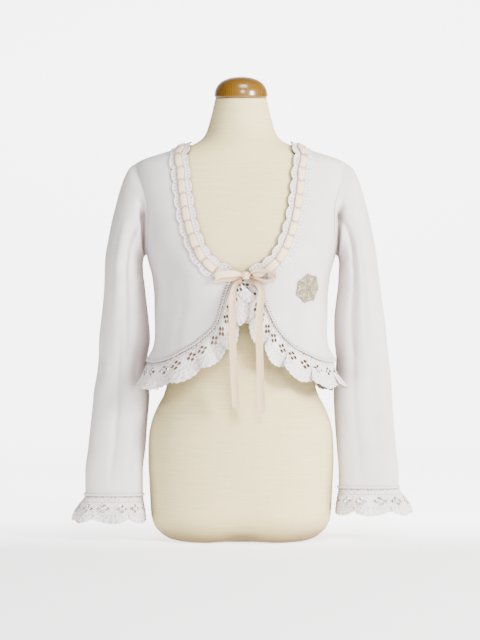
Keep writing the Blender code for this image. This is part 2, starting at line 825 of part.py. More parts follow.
def drawn_in(rings, distance):
    """The rings moved in along the surface's normals, for the wall's inner skin."""
    moved = []
    count = len(rings[0])
    for j, ring in enumerate(rings):
        above, below = rings[max(j - 1, 0)], rings[min(j + 1, len(rings) - 1)]
        row = []
        for i, point in enumerate(ring):
            around = ring[(i + 1) % count] - ring[i - 1]
            down = below[i] - above[i]
            normal = around.cross(down).normalized()
            middle = sum(ring, Vector()) / count
            if normal.dot(point - middle) > 0:
                normal = -normal
            row.append(point + normal * distance)
        moved.append(row)
    return moved


def half_rings(rings, first):
    """Half of each ring, from column first, drawn back by half a seam gap at both ends."""
    halves = []
    for ring in rings:
        half = [ring[(first + i) % len(ring)] for i in range(ARMHOLE_ROWS + 1)]
        for end, beside in ((0, 1), (-1, -2)):
            half[end] = half[end] + (half[beside] - half[end]).normalized() * SEAM_GAP / 2
        halves.append(half)
    return halves


def ring_span(rings, top, low):
    """The rings from one number to another, drawn back by half a seam gap where cut."""
    span = [list(ring) for ring in rings[top : low + 1]]
    for end, beside, cut in ((0, 1, top > 0), (-1, -2, low < len(rings) - 1)):
        if cut:
            span[end] = [
                point + (other - point).normalized() * SEAM_GAP / 2
                for point, other in zip(span[end], span[beside])
            ]
    return span


def add_sleeve(side):
    """A sleeve, in front and back halves that also part across at the elbow."""
    outer = sleeve_rings(side)
    inner = drawn_in(outer, KNIT)
    inner[0] = first_ring(side)[1]
    spans = (("upper", 0, ELBOW_RING), ("lower", ELBOW_RING, len(outer) - 1))
    for name, first in (("front", 0), ("back", ARMHOLE_ROWS)):
        outer_half, inner_half = half_rings(outer, first), half_rings(inner, first)
        for part, top, low in spans:
            label = "_".join(("sleeve", side, name, part))
            outer_span, inner_span = ring_span(outer_half, top, low), ring_span(inner_half, top, low)
            add_wall(label, outer_span, inner_span, "knit")


def lace_pattern(clusters, depth, tops, first=0):
    """Flat lace: its outline, its holes, the points where it bends, and its length.

    Tops are the places along its upper edge, from 0 to 1, where the cloth above has corners.
    First is the number of its first cluster, which sets where its scallops begin.
    """
    length = clusters * CLUSTER
    top = [(t * length, 0.0) for t in tops]
    low = []
    steps = 3
    for i in range(clusters * steps + 1):
        s = i * CLUSTER / steps
        share = abs(math.sin(math.pi * (s / CLUSTER + first) / 2)) ** 0.7
        low.append((s, depth - SCALLOP * (1 - share)))
    outline = top + low[::-1]
    outline = [(min(max(s, 0.0), length), v) for s, v in outline]
    holes = []
    for k in range(clusters):
        middle = (k + 0.5) * CLUSTER
        for across, up in ((-HOLE_ACROSS, 0), (HOLE_ACROSS, 0), (0, -HOLE_UP), (0, HOLE_UP)):
            s, v = middle + across, HOLE_ROW + up
            corners = ((HOLE_OUT, 0), (0, HOLE_OUT), (-HOLE_OUT, 0), (0, -HOLE_OUT))
            holes.append([(s + out, v + down) for out, down in corners])
    bends = [((k + 0.5) * CLUSTER, FAN_ROW) for k in range(clusters)]
    return outline, holes, bends, length


def along_chords(points, t):
    """The point at share t of a polyline whose corners are evenly shared."""
    place = t * (len(points) - 1)
    i = min(int(place), len(points) - 2)
    return points[i].lerp(points[i + 1], place - i)


def hem_place(low, lean_sign, layer, length, start):
    """Puts flat lace below a hem. Low is the hem's own spots, as turn and height."""
    hang = columns(FRONT_HANG if lean_sign else BACK_HANG)
    edge = [on_body(turn, height, 0.0)[0] for turn, height in low]
    curve_turn = spline([i / (len(low) - 1) for i in range(len(low))], [spot[0] for spot in low])
    curve_height = spline([i / (len(low) - 1) for i in range(len(low))], [spot[1] for spot in low])

    def place(s, v, outside):
        t = start + (1 - start) * s / length
        turn, height = curve_turn(t), curve_height(t)
        edge_shift = along_chords(edge, t) - on_body(turn, height, 0.0)[0]
        lean = math.radians(hang["lean"](t))
        flare = hang["lift"](t)
        heading = (-lean_sign * math.sin(lean), -math.cos(lean))
        share = v / HEM_DEPTH
        fall = v + SEAM_GAP / MM
        fall *= 1 - LACE_DROOP * share * flare
        turn, height = walk(turn, height, heading, fall)
        wave = HEM_WAVE * share**1.3 * math.sin(math.pi * s / CLUSTER)
        if lean_sign:
            wave *= (0.35 + 0.65 * fade(t, 0.1, 0.5)) * (1 - 0.8 * fade(t, 0.85, 1.0))
        else:
            wave *= 1 - 0.8 * fade(abs(t - 0.5), 0.35, 0.5)
        lift = flare * share**1.4 + wave + layer * fade(share, 0.02, 0.3)
        out = (KNIT - LACE) / 2 + lift * MM + (LACE if outside else 0.0)
        point, _ = on_body(turn, height, out)
        return point + edge_shift * (1 - fade(share, 0.0, 0.3))

    return place


def add_hem_lace():
    """Lace round the cut-away fronts and the back's hem, parted at the side seams."""
    for side, sign in (("left", 1), ("right", -1)):
        low = front_spots(side)[0]
        low = [(sign * turn, height) for turn, height in low]
        corners = [i / FRONT_COLUMNS for i in range(1, FRONT_COLUMNS + 1)]
        tops = [0.0] + [(t - LACE_START) / (1 - LACE_START) for t in corners]
        outline, holes, bends, length = lace_pattern(CLUSTERS["front"], HEM_DEPTH, tops)
        set_down = hem_place(low, sign, TOP_LAYER[side], length, LACE_START)
        add_sheet("hem_lace_" + side, outline, holes, bends, set_down, "lace")
    half = back_spots()[0]
    low = half[::-1] + [(360 - turn, height) for turn, height in half[1:]]
    tops = [i / 2 / BACK_COLUMNS for i in range(2 * BACK_COLUMNS + 1)]
    outline, holes, bends, length = lace_pattern(CLUSTERS["back"], HEM_DEPTH, tops)
    set_down = hem_place(low, 0, 0.0, length, 0.0)
    add_sheet("hem_lace_back", outline, holes, bends, set_down, "lace")


def cuff_place(side, length):
    """Puts flat lace round a cuff, below the sleeve's last ring."""
    rings = sleeve_rings(side)
    outer, inner = rings[-1], drawn_in(rings, KNIT)[-1]
    count = len(outer)
    middle = sum(outer, Vector()) / count
    body_side = -1 if side == "left" else 1

    def place(s, v, outside):
        turn = s / length * count
        i = int(math.floor(turn)) % count
        share_on = turn - math.floor(turn)
        wall = 0.5 + (0.5 if outside else -0.5) * LACE / KNIT
        here = inner[i].lerp(outer[i], wall)
        after = inner[(i + 1) % count].lerp(outer[(i + 1) % count], wall)
        point = here.lerp(after, share_on)
        reach = Vector((point.x - middle.x, point.y - middle.y, 0))
        share = v / CUFF_DEPTH
        toward = body_side * reach.x / max(reach.length, 1e-6)
        opened = share ** CUFF_FLARE["power"]
        flare_x = 1 + CUFF_FLARE["outside" if toward < 0 else "body"] * opened
        flare_y = 1 + CUFF_FLARE["front"] * opened
        spread = Vector((reach.x * flare_x, reach.y * flare_y, 0))
        outward = Vector((reach.x / 2.2, reach.y * 2.2, 0)).normalized()
        wave = CUFF_WAVE * share**1.3 * math.sin(math.pi * s / CLUSTER)
        if toward > 0.7:
            wave *= 0.4
        fall = SEAM_GAP + v * MM * (1 - CUFF_FLARE["droop"] * share)
        low = Vector((middle.x, middle.y, point.z - fall))
        return low + spread + outward * wave * MM

    return place


def add_cuff_lace(side):
    """Each cuff's lace: its front in an inner and an outer quarter, and its back."""
    clusters = CLUSTERS["cuff"]
    set_down = cuff_place(side, clusters * CLUSTER)
    quarter = clusters // 4
    trim = SEAM_GAP / MM / 2
    parts = (("front_inner", 0, 1), ("front_outer", 1, 1), ("back", 2, 2))
    for name, start, quarters in parts:
        rows = ARMHOLE_ROWS // 2 * quarters
        tops = [i / rows for i in range(rows + 1)]
        first = start * quarter
        outline, holes, bends, length = lace_pattern(
            quarters * quarter, CUFF_DEPTH, tops, first
        )
        outline = [(min(max(s, trim), length - trim), v) for s, v in outline]

        def moved(s, v, outside, shift=first * CLUSTER):
            return set_down(s + shift, v, outside)

        add_sheet("_".join(("cuff_lace", side, name)), outline, holes, bends, moved, "lace")


def neck_course():
    """The whole neckline from the right closure round to the left, as turn and height."""
    front = [neckline_point(i / 16) for i in range(17)]
    back = [back_neckline_point(i / 8) for i in range(1, 9)]
    half = front + back
    other = [(360 - turn, height) for turn, height in half[-2::-1]]
    return [(-turn, height) for turn, height in half + other]


def neck_path():
    """Turn and height along the neck course, by length in millimetres, and that length."""
    course = neck_course()
    along = [0.0]
    for before, after in zip(course, course[1:]):
        gap = torso(*after, 1.0) - torso(*before, 1.0)
        along.append(along[-1] + gap.length / MM)
    turn = spline(along, [spot[0] for spot in course])
    height = spline(along, [spot[1] for spot in course])
    return turn, height, along[-1]


def trim_place(base, thick):
    """Puts a flat strip along the neckline. V is across it, towards the neck."""
    turn_on, height_on, length = neck_path()

    def place(s, v, outside, lift=0.0):
        turn, height = turn_on(s), height_on(s)
        ahead = torso(turn_on(min(s + 1, length)), height_on(min(s + 1, length)), 1.0)
        behind = torso(turn_on(max(s - 1, 0)), height_on(max(s - 1, 0)), 1.0)
        along = (ahead - behind).normalized()
        _, out = on_body(turn, height, 0.0)
        across = along.cross(out).normalized()
        side = torso(turn + 0.5, height, 1.0) - torso(turn - 0.5, height, 1.0)
        side = side.normalized()
        up = out.cross(side).normalized()
        if up.z < 0:
            up = -up
        heading = (across.dot(side), across.dot(up))
        turn, height = walk(turn, height, heading, v - TRIM_OFF_EDGE)
        reach = base + lift * MM + (thick if outside else 0.0)
        return on_body(turn, height, reach)[0]

    return place, length


def add_neck_trim():
    """Beading lace with scallops on both edges, moved out from the knit's own points."""
    place, length = trim_place(KNIT + LAY_GAP, LACE)
    pitch = length / TRIM_REPEATS
    upper, lower = [], []
    for i in range(2 * TRIM_REPEATS + 1):
        s = i * pitch / 2
        out = TRIM_HALF + (TRIM_SCALLOP / 2 if i % 2 else -TRIM_SCALLOP / 2)
        upper.append((s, out))
        lower.append((s, -out))
    bends = [(i * pitch / 2, 0.0) for i in range(1, 2 * TRIM_REPEATS)]
    add_sheet("neck_lace", lower + upper[::-1], [], bends, place, "lace")


def add_threaded_ribbon():
    """The ribbon through the neck trim, puffed up between the bars that hold it."""
    base = KNIT + LAY_GAP + LACE + SEAM_GAP
    place, length = trim_place(base, RIBBON)
    pitch = length / TRIM_REPEATS
    outer, inner = [], []
    for i in range(2 * TRIM_REPEATS + 1):
        s = min(max(i * pitch / 2, 2.0), length - 2.0)
        lift = 0.2 + (PUFF if i % 2 else 0.0)
        outer.append([place(s, v, True, lift) for v in (-THREADED_HALF, THREADED_HALF)])
        inner.append([place(s, v, False, lift) for v in (-THREADED_HALF, THREADED_HALF)])
    add_wall("neck_ribbon", outer, inner, "satin")


def front_face(height):
    """How far forward the knit's front lies at the centre, in millimetres."""
    return -torso(0, max(height, 430), 1.0).y / MM + KNIT / MM


def ribbon_path(points):
    """A smooth path for a ribbon, from points given off the front of the knit."""
    return path([(point.x, -front_face(point.z) - point.off, point.z) for point in points])


def add_tail(side):
    """A free end of the bow, flat to the front, cut straight across."""
    course = ribbon_path(TAILS[side])
    steps = 16
    outer, inner = [], []
    for i in range(steps + 1):
        t = i / steps
        point = Vector(course(t)) * MM
        ahead = Vector(course(min(t + 0.02, 1))) - Vector(course(max(t - 0.02, 0)))
        front = Vector((0, -1, 0))
        across = ahead.cross(front).normalized() * BOW_WIDTH / 2 * MM
        across *= 0.55 + 0.45 * fade(t, 0.0, 0.2)
        face = across.cross(ahead).normalized()
        if face.y > 0:
            face = -face
        outer.append([point - across + face * RIBBON / 2, point + across + face * RIBBON / 2])
        inner.append([point - across - face * RIBBON / 2, point + across - face * RIBBON / 2])
    add_wall("bow_tail_" + side, outer, inner, "satin")


def add_loop(side):
    """One loop of the bow: the right one lies flat, and the left one stands open."""
    course = ribbon_path(LOOPS[side])
    steps = 20
    sign = 1 if side == "left" else -1
    outer, inner = [], []
    for i in range(steps + 1):
        t = i / steps
        point = Vector(course(t)) * MM
        ahead = (Vector(course(min(t + 0.02, 1))) - Vector(course(max(t - 0.02, 0)))).normalized()
        tilt = Vector((0, *LOOP_TILT[side])).normalized()
        across = (tilt - ahead * tilt.dot(ahead)).normalized()
        pinch = 0.5 + 0.5 * fade(min(t, 1 - t), 0.0, 0.2)
        face = ahead.cross(across).normalized() * sign * RIBBON / 2
        across *= BOW_WIDTH / 2 * MM * pinch
        outer.append([point - across * sign - face, point + across * sign - face])
        inner.append([point - across * sign + face, point + across * sign + face])
    add_wall("bow_loop_" + side, outer, inner, "satin")


def add_knot():
    """The bow's knot, a soft rounded wrap."""
    centre = Vector((KNOT["x"], -front_face(KNOT["z"]) - KNOT["off"], KNOT["z"])) * MM
    rings, sides = 6, 12
    points = [centre - Vector((0, 0, KNOT["half_z"] * MM))]
    for j in range(1, rings):
        rise = math.pi * j / rings
        for i in range(sides):
            angle = 2 * math.pi * i / sides
            reach = math.sin(rise) ** 0.6
            x = KNOT["half_x"] * reach * math.cos(angle)
            y = KNOT["half_y"] * reach * math.sin(angle)
            z = -KNOT["half_z"] * math.cos(rise)
            points.append(centre + Vector((x, y, z)) * MM)
    points.append(centre + Vector((0, 0, KNOT["half_z"] * MM)))
    faces = [(0, 1 + (i + 1) % sides, 1 + i) for i in range(sides)]
    for j in range(rings - 2):
        for i in range(sides):
            a, b = 1 + j * sides + i, 1 + j * sides + (i + 1) % sides
            faces.append((a, b, b + sides, a + sides))
    last = 1 + (rings - 2) * sides
    faces += [(last + i, last + (i + 1) % sides, len(points) - 1) for i in range(sides)]
    add_object("bow_knot", points, faces, "satin")


def add_spray():
    """The chest embroidery, a low raised flower on the left front."""
    steps = SPRAY["petals"] * 4
    outline = []
    for i in range(steps):
        angle = 2 * math.pi * i / steps
        reach = SPRAY["radius"] + SPRAY["petal"] * math.cos(SPRAY["petals"] * angle)
        outline.append((reach * math.cos(angle), reach * math.sin(angle)))

    def place(s, v, outside):
        turn, height = walk(SPRAY["turn"], SPRAY["height"], (s, v), 1.0)
        out = KNIT + LAY_GAP + (SPRAY_THICK if outside else 0.0)
        return on_body(turn, height, out)[0]

    ring = [(x * 0.5, y * 0.5) for x, y in outline[::4]]
    add_sheet("chest_embroidery", outline, [], ring + [(0.0, 0.0)], place, "gold")


def main():
    for thing in list(bpy.data.objects):
        bpy.data.objects.remove(thing, do_unlink=True)
    add_form()
    add_cap()
    add_body()
    for side in ("left", "right"):
        add_sleeve(side)
        add_cuff_lace(side)
        add_tail(side)
        add_loop(side)
    add_hem_lace()
    add_neck_trim()
    add_threaded_ribbon()
    add_knot()
    add_spray()


if __name__ == "__main__":
    main()
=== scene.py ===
"""The look of a knitted shrug with crochet lace, threaded ribbon and bow, on its dress form.

Run as a script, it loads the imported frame, models each piece and places the stage and the
camera. Tables are in millimetres and degrees; meshes are in metres, +Z up, front towards -Y.
"""

import functools
import math
from collections import namedtuple

import bpy
import numpy as np
from bpy.props import FloatProperty, FloatVectorProperty, IntProperty, PointerProperty
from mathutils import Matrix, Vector


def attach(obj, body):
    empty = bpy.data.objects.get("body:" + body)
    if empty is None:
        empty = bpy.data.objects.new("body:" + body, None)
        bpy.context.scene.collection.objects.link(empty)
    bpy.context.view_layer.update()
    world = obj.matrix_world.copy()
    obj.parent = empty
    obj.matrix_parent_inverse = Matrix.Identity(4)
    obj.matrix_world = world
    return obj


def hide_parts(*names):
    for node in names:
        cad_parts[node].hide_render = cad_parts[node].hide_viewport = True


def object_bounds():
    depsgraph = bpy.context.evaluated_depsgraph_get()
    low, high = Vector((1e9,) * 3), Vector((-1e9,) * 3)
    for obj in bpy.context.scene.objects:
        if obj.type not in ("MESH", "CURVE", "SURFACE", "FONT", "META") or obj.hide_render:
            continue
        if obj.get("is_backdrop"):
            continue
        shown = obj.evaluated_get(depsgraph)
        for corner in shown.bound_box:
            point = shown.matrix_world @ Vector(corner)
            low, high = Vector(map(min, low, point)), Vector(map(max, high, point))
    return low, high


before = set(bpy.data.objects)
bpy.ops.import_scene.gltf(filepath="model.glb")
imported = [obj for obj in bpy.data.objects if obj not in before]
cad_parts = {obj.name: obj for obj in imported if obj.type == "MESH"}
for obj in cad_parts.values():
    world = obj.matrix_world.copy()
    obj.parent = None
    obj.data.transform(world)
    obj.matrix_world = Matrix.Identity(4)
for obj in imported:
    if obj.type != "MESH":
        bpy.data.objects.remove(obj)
CAD_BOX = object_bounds()

bl_info = {
    "name": "Knitted shrug on a dress form",
    "version": (1, 0, 0),
    "blender": (4, 5, 0),
    "location": "View3D > Sidebar > Shrug",
    "description": "Models a lace-edged knitted shrug and its dress form, piece by piece",
    "category": "Add Mesh",
}

MM = 0.001
BODY = "root"

# The solids' own divisions, which set where their edges run, then the gap at a seam, the gap
# below a piece that is laid on another, and the knit's thickness.
SEAM_ROWS = 6
ARMHOLE_ROWS = 12
FRONT_COLUMNS = 9
BACK_COLUMNS = 8
SEAM_GAP = 0.35
LAY_GAP = 0.9
KNIT = 1.6

SIDES = {"left": 1, "right": -1}
SHARP_ANGLE = 55


def table(fields, *rows):
    """Rows whose columns have names."""
    row = namedtuple("Row", fields)
    return [row(*values) for values in rows]


# The body, from the base up: the form's half width and depths, how square the section is,
# and how far the knit hangs off it at the side, in front and behind.
TORSO = table(
    "height width front back square ease_side ease_front ease_back",
    (0, 112, 66, 74, 2.3, 0, 0, 0), (3, 124, 74, 84, 2.3, 0, 0, 0), (12, 138, 82, 94, 2.3, 0, 0, 0),
    (24, 149, 88, 101, 2.3, 0, 0, 0), (43, 155, 92, 106, 2.3, 0, 0, 0),
    (95, 158, 95, 112, 2.3, 0, 0, 0), (140, 160, 97, 115, 2.3, 0, 0, 0),
    (178, 159, 97, 113, 2.3, 0, 0, 0), (205, 154, 95, 106, 2.3, 2, 12, 14),
    (230, 144, 91, 98, 2.2, 14, 18, 20), (251, 133, 87, 90, 2.15, 23, 24, 26),
    (301, 121, 81, 78, 2.1, 37, 28, 30), (313, 120, 80, 77, 2.1, 39, 27, 30),
    (330, 119, 80, 75, 2.1, 32, 26, 29), (344, 120, 82, 75, 2.1, 28, 25, 28),
    (396, 129, 92, 78, 2.2, 19, 16, 20), (430, 138, 106, 83, 2.35, 11, 7, 12),
    (460, 145, 113, 88, 2.5, 8, 2, 6), (490, 152, 110, 92, 2.6, 9, 2.8, 3),
    (540, 162, 101, 98, 2.8, 8, 1.5, 1.5), (580, 170, 90, 98, 2.8, 6.5, 1.5, 1.5),
    (610, 176, 81, 94, 2.7, 5.5, 1.5, 1.5), (632, 178.5, 74, 88, 2.5, 5, 1.5, 1.5),
    (646, 175.5, 70, 83, 2.3, 6, 1.5, 1.5), (651, 169.5, 69, 81, 2.2, 6, 1.5, 1.5),
    (656, 159.5, 68, 79, 2.15, 6, 1.5, 1.5), (661, 144.5, 66.5, 76, 2.1, 6, 1.5, 1.5),
    (670, 115.5, 64, 71, 2.05, 6, 1.5, 1.5), (680, 87.5, 60, 66, 2, 6, 1.5, 1.5),
    (688, 71.5, 56, 62, 2, 6, 1.5, 1.5), (697, 63, 52, 59, 2, 6, 1.5, 1.5),
    (708, 58, 50, 56, 2, 6, 1.5, 1.5), (722, 54, 48, 53, 2, 6, 1.5, 1.5),
    (741, 49, 46, 50, 2, 6, 1.5, 1.5), (764, 44, 44, 46, 2, 6, 1.5, 1.5),
)
BUST = {"turn": 27.0, "height": 463.0, "wide": 15.0, "tall": 38.0, "rise": 6.0}
THIGH_GROOVE = {"wide": 17.0, "tall": 60.0, "deep": 0.1, "lift": 8.0, "lifted": 14.0}
BASE_FLAT = 0.62
FORM_RINGS = [0, 1, 3, 6, 9, 12, 18, 24, 33, 43, 54]
FORM_STEP = 7.0

# The neck's top leans forward, and the varnished cap sits on it.
NECK_LEAN = 8.0
NECK_LEAN_FROM = 705.0
CAP_PROFILE = table(
    "rise share",
    (0.3, 0.93), (0.3, 1.02), (3, 1.05), (12, 1.02), (22, 0.9), (30, 0.66), (34.5, 0.34),
    (36, 0.02),
)

# Soft folds in the knit body: a trough or, where deep is negative, a ridge.
FOLD = "turn height lean wide tall deep"
BODY_FOLDS = table(
    FOLD, (-62, 455, 1.2, 10, 40, 2.6), (-48, 415, 0.8, 9, 42, 2), (30, 360, -0.2, 8, 50, 2.6),
    (46, 372, -0.1, 9, 55, -2.2), (-30, 372, 0.2, 9, 45, 1.8), (66, 430, -0.9, 9, 50, 2.2),
    (138, 400, 0.3, 10, 75, 2.8), (182, 372, 0, 9, 80, 2.4), (224, 405, -0.3, 10, 75, 2.8),
)

# The knit's neckline, from the closure up to the shoulder, and its drop at the back.
EDGE = "across height"
NECKLINE = table(
    EDGE, (17, 455), (30, 461), (48, 470), (65, 490), (78, 520), (88, 556), (95, 600), (98, 640),
    (97, 672),
)
SHOULDER_NECK = 679.0
BACK_NECKLINE = table(
    EDGE, (96, 674), (90, 666), (76, 660), (52, 656), (26, 654),
)
BACK_NECK = 653.5

# Where each front is cut away, from the closure down and round to the side seam.
CUTAWAY = {
    "right": table(
        EDGE, (17, 455), (26, 434), (35, 405), (43, 376), (70, 348), (98, 329), (122, 316),
        (145, 311),
    ),
    "left": table(
        EDGE, (17, 455), (36, 432), (47, 400), (61, 370), (83, 344), (108, 325), (130, 315),
        (148, 312),
    ),
}
SIDE_HEM = 313.0

# The armhole, from the underarm up to the shoulder tip.
UNDERARM = 494.0
SHOULDER_TIP = 651.0
ARMHOLE_FRONT = 34.0
ARMHOLE_BACK = 37.0

# The sleeve. Rings fan round the underarm, then lie level down to the cuff.
SLEEVE_FAN = table(
    "inner_x inner_z outer_x outer_z depth",
    (164, 494, 183, 652, 56), (166.5, 492, 195, 644, 56), (168.2, 488.5, 204, 626, 57),
    (169.2, 484, 211, 603, 58), (169.6, 478, 217, 577, 58), (169.6, 471, 224, 546, 58),
    (169, 463, 230, 515, 57), (168.5, 454, 235, 483, 56),
)
SLEEVE_RINGS = table(
    "height right_x right_half left_x left_half forward depth",
    (434, 201.5, 35.5, 204.5, 37, -6, 55), (404, 201.5, 38.5, 205, 41, -13, 52),
    (374, 202, 42, 206.5, 44.5, -20, 48), (344, 203, 44.5, 208.5, 45.5, -26, 44),
    (314, 205.5, 43, 211.5, 46, -30, 39), (284, 207.5, 44.5, 212.5, 48.5, -30, 36),
    (246, 208, 49, 212, 51, -19, 32), (202, 211, 49, 213.5, 51, -3, 28),
    (160, 214, 49.5, 216, 51, 11, 25), (118, 218, 49.5, 219, 51.5, 23, 22.5),
)
CUFF = {"right": 78.0, "left": 91.0}

# Long soft creases down each sleeve, then finer ones. Place runs from -1 at the body to 1
# at the outside.
CREASES = table(
    "side face top top_place bottom bottom_place wide deep",
    ("left", "front", 640, -0.15, 270, -0.45, 0.2, 6),
    ("left", "front", 420, 0.45, 120, 0.35, 0.24, 2.4),
    ("left", "back", 600, 0.2, 220, -0.1, 0.24, 4),
    ("right", "front", 660, -0.2, 330, 0.05, 0.22, 3.4),
    ("right", "front", 330, 0.3, 120, -0.1, 0.26, 2.6),
    ("right", "back", 610, -0.1, 240, 0.2, 0.24, 4),
    ("right", "front", 655, -0.28, 290, -0.1, 0.11, 2.8),
    ("right", "front", 360, 0.12, 90, 0.08, 0.1, 2.4),
    ("right", "front", 330, -0.62, 95, -0.55, 0.12, 2.4),
    ("right", "front", 560, 0.45, 380, 0.6, 0.12, 1.5),
    ("right", "back", 480, 0.3, 140, 0.1, 0.14, 2),
    ("left", "front", 650, -0.16, 300, -0.42, 0.09, 2.4),
    ("left", "front", 560, 0.1, 330, 0.18, 0.12, 1.6),
    ("left", "front", 300, -0.4, 100, -0.3, 0.12, 2),
    ("left", "front", 520, 0.55, 300, 0.62, 0.12, 1.5),
    ("left", "back", 480, -0.25, 140, -0.05, 0.14, 2),
)

# Crochet lace: clusters of four holes, fans and scallops, two clusters to a scallop.
CLUSTER = 22.5
HOLE_ACROSS = 4.8
HOLE_UP = 5.0
HOLE_ROW = 21.0
HEM_DEPTH = 57.0
CUFF_DEPTH = 51.0
SCALLOP = 12.5
CLUSTERS = {"front": 12, "back": 20, "cuff": 12}
HEM_WAVE = 6.5
CUFF_WAVE = 4.5
CUFF_FLARE = {"outside": 0.44, "body": 0.10, "front": 0.62, "droop": 0.1}
LACE_START = 0.07
LACE_DROOP = 0.004
HANG = "along lean lift"
FRONT_HANG = table(
    HANG, (0, 50, 1), (0.2, 42, 2), (0.4, 26, 6), (0.6, 14, 13), (0.78, 6, 24), (0.9, 0, 31),
    (1, 0, 3),
)
BACK_HANG = table(
    HANG, (0, 0, 1), (0.12, 0, 2), (0.28, 0, 16), (0.5, 0, 20), (0.72, 0, 16), (0.88, 0, 2),
    (1, 0, 1),
)
TOP_LAYER = {"right": 4.0, "left": 0.0}

# The neck trim, its ribbon, and the bow.
TRIM_HALF = 15.5
TRIM_SCALLOP = 4.0
TRIM_OFF_EDGE = 4.0
TRIM_REPEATS = 38
THREADED_HALF = 6.0
PUFF = 1.8
BOW_WIDTH = 12.0
HANG_FROM = 430.0
KNOT = {"x": 8.0, "z": 453.0, "off": 6.8, "half_x": 5.5, "half_z": 6.5, "half_y": 4.0}
RIBBON = "x off z"
LOOP_TILT = {"right": (-0.25, 1.0), "left": (-1.0, 0.45)}
TAILS = {
    "right": table(
        RIBBON, (1, 7.6, 445), (-9, 11.1, 438), (-13.5, 13.6, 422), (-14.5, 15.1, 395),
        (-14, 16.6, 350), (-11.5, 16.6, 290), (-8, 15.6, 234),
    ),
    "left": table(
        RIBBON, (14.5, 7, 445), (26, 10.5, 440), (34.5, 13, 425), (31.5, 14.5, 395),
        (30.5, 16, 350), (32, 16, 290), (34.5, 15, 225),
    ),
}
LOOPS = {
    "right": table(
        RIBBON, (2.7, 9.1, 454), (-12, 12.1, 456), (-30, 13.1, 455), (-41, 11.6, 452),
        (-43.5, 9.1, 448.5), (-40, 6.8, 447), (-26, 6.2, 448), (-10, 6.6, 450), (2.1, 6.8, 450.5),
    ),
    "left": table(
        RIBBON, (13.6, 7.8, 455.5), (26, 12, 461), (42, 13.5, 460.5), (54, 14, 455),
        (57.5, 13.8, 449), (52.5, 13, 443.8), (40, 12, 443), (26, 10.5, 446.5), (14.3, 7.4, 450),
    ),
}

# How far the ruffle closes up where its scallops meet, so that each laps the one before,
# how much of it runs up behind the closure and how much is tucked under the knit, in
# millimetres.
GATHER = 8.0
LACE_LEAD = 20.0
LACE_TUCK = 6.0
CUFF_GATHER = 3.5

# How the finer lace is worked: its grid, hole size, fan ribs and picots.
LACE_PITCH = 1.1
HOLE_RADIUS = 2.7
FAN_RIBS = 22
PICOT = {"out": 2.0, "pitch": 5.6, "knit_pitch": 5.8}
COURSE = {"pitch": 3.6, "from": 12.0, "to": 15.0}
FAN = {"pitch": 7.5, "from": 8.0, "to": 14.0}
EYELET = {"above": 9.5, "below": 12.5, "wide": 0.95, "deep": 0.6}

# Stitches: length, width and height in millimetres, and how uneven they are.
PETAL_STITCH = (4.6, 0.95, 0.75, 0.12)
FILL_STITCH = (3.2, 0.65, 0.55, 0.35)
KNOT_STITCH = (1.5, 1.4, 1.1, 0.15)
EDGE_STITCH = (2.2, 1.1, 0.9, 0.15)
KNIT_PICOT = (3.6, 3.0, 2.4, 0.16)
SEAM_THREAD = 0.9
CUFF_ROLL = 4.4
LOOP_YARN = 2.3

# The stage and the camera, in metres, and the lens in millimetres.
STAGE = {"front": 4.5, "back": 2.7, "sweep": 1.2, "top": 4.5, "half_width": 4.5}
CAMERA = {"x": -0.0017, "away": 3.25, "z": 0.379, "lens": 105.7, "sensor": 36.0, "far": 30.0}
LIGHTS = table(
    "name x y z aim wide tall watts green blue",
    ("key_softbox", 2.3, -1.95, 1.3, 0.45, 0.7, 0.9, 262, 0.985, 0.95),
    ("front_softbox", 0.4, -2.9, 1.8, 0.42, 0.8, 0.8, 60, 0.99, 0.98),
    ("top_softbox", 0.3, -0.9, 2.5, 0.4, 0.8, 0.8, 40, 1, 1),
)

# Finer creases than the solids hold, soft and uneven: a trough or, below 0, a ridge.
FINE_FOLDS = table(
    FOLD, (-70, 476, 2.6, 5, 20, 2.4), (-58, 470, 2.2, 4, 26, -1.7), (-50, 448, 1.9, 4, 24, 1.8),
    (-72, 440, 1.2, 5, 30, 2.2), (-40, 400, 0.7, 4, 34, 1.4), (-34, 436, 0.3, 6, 40, -1.2),
    (70, 474, -2.4, 5, 22, 2.4), (60, 462, -1.9, 4, 26, -1.5), (74, 430, -1, 5, 34, 2.1),
    (54, 384, -0.3, 3.5, 34, 1.7), (38, 350, -0.2, 3.5, 28, 1.7), (62, 352, -0.5, 4, 30, -1.5),
    (-46, 352, 0.4, 4, 26, 1.7), (-66, 356, 0.7, 4, 28, -1.5), (112, 474, 2.2, 5, 24, 2.2),
    (124, 440, 1.5, 5, 36, -1.5), (150, 396, 0.5, 5, 52, 2), (166, 350, 0.1, 4, 36, -1.5),
    (200, 396, -0.3, 5, 48, 1.8), (214, 350, -0.5, 4, 34, -1.5), (238, 440, -1.5, 5, 36, 1.8),
    (248, 474, -2.2, 5, 24, 2.2),
)
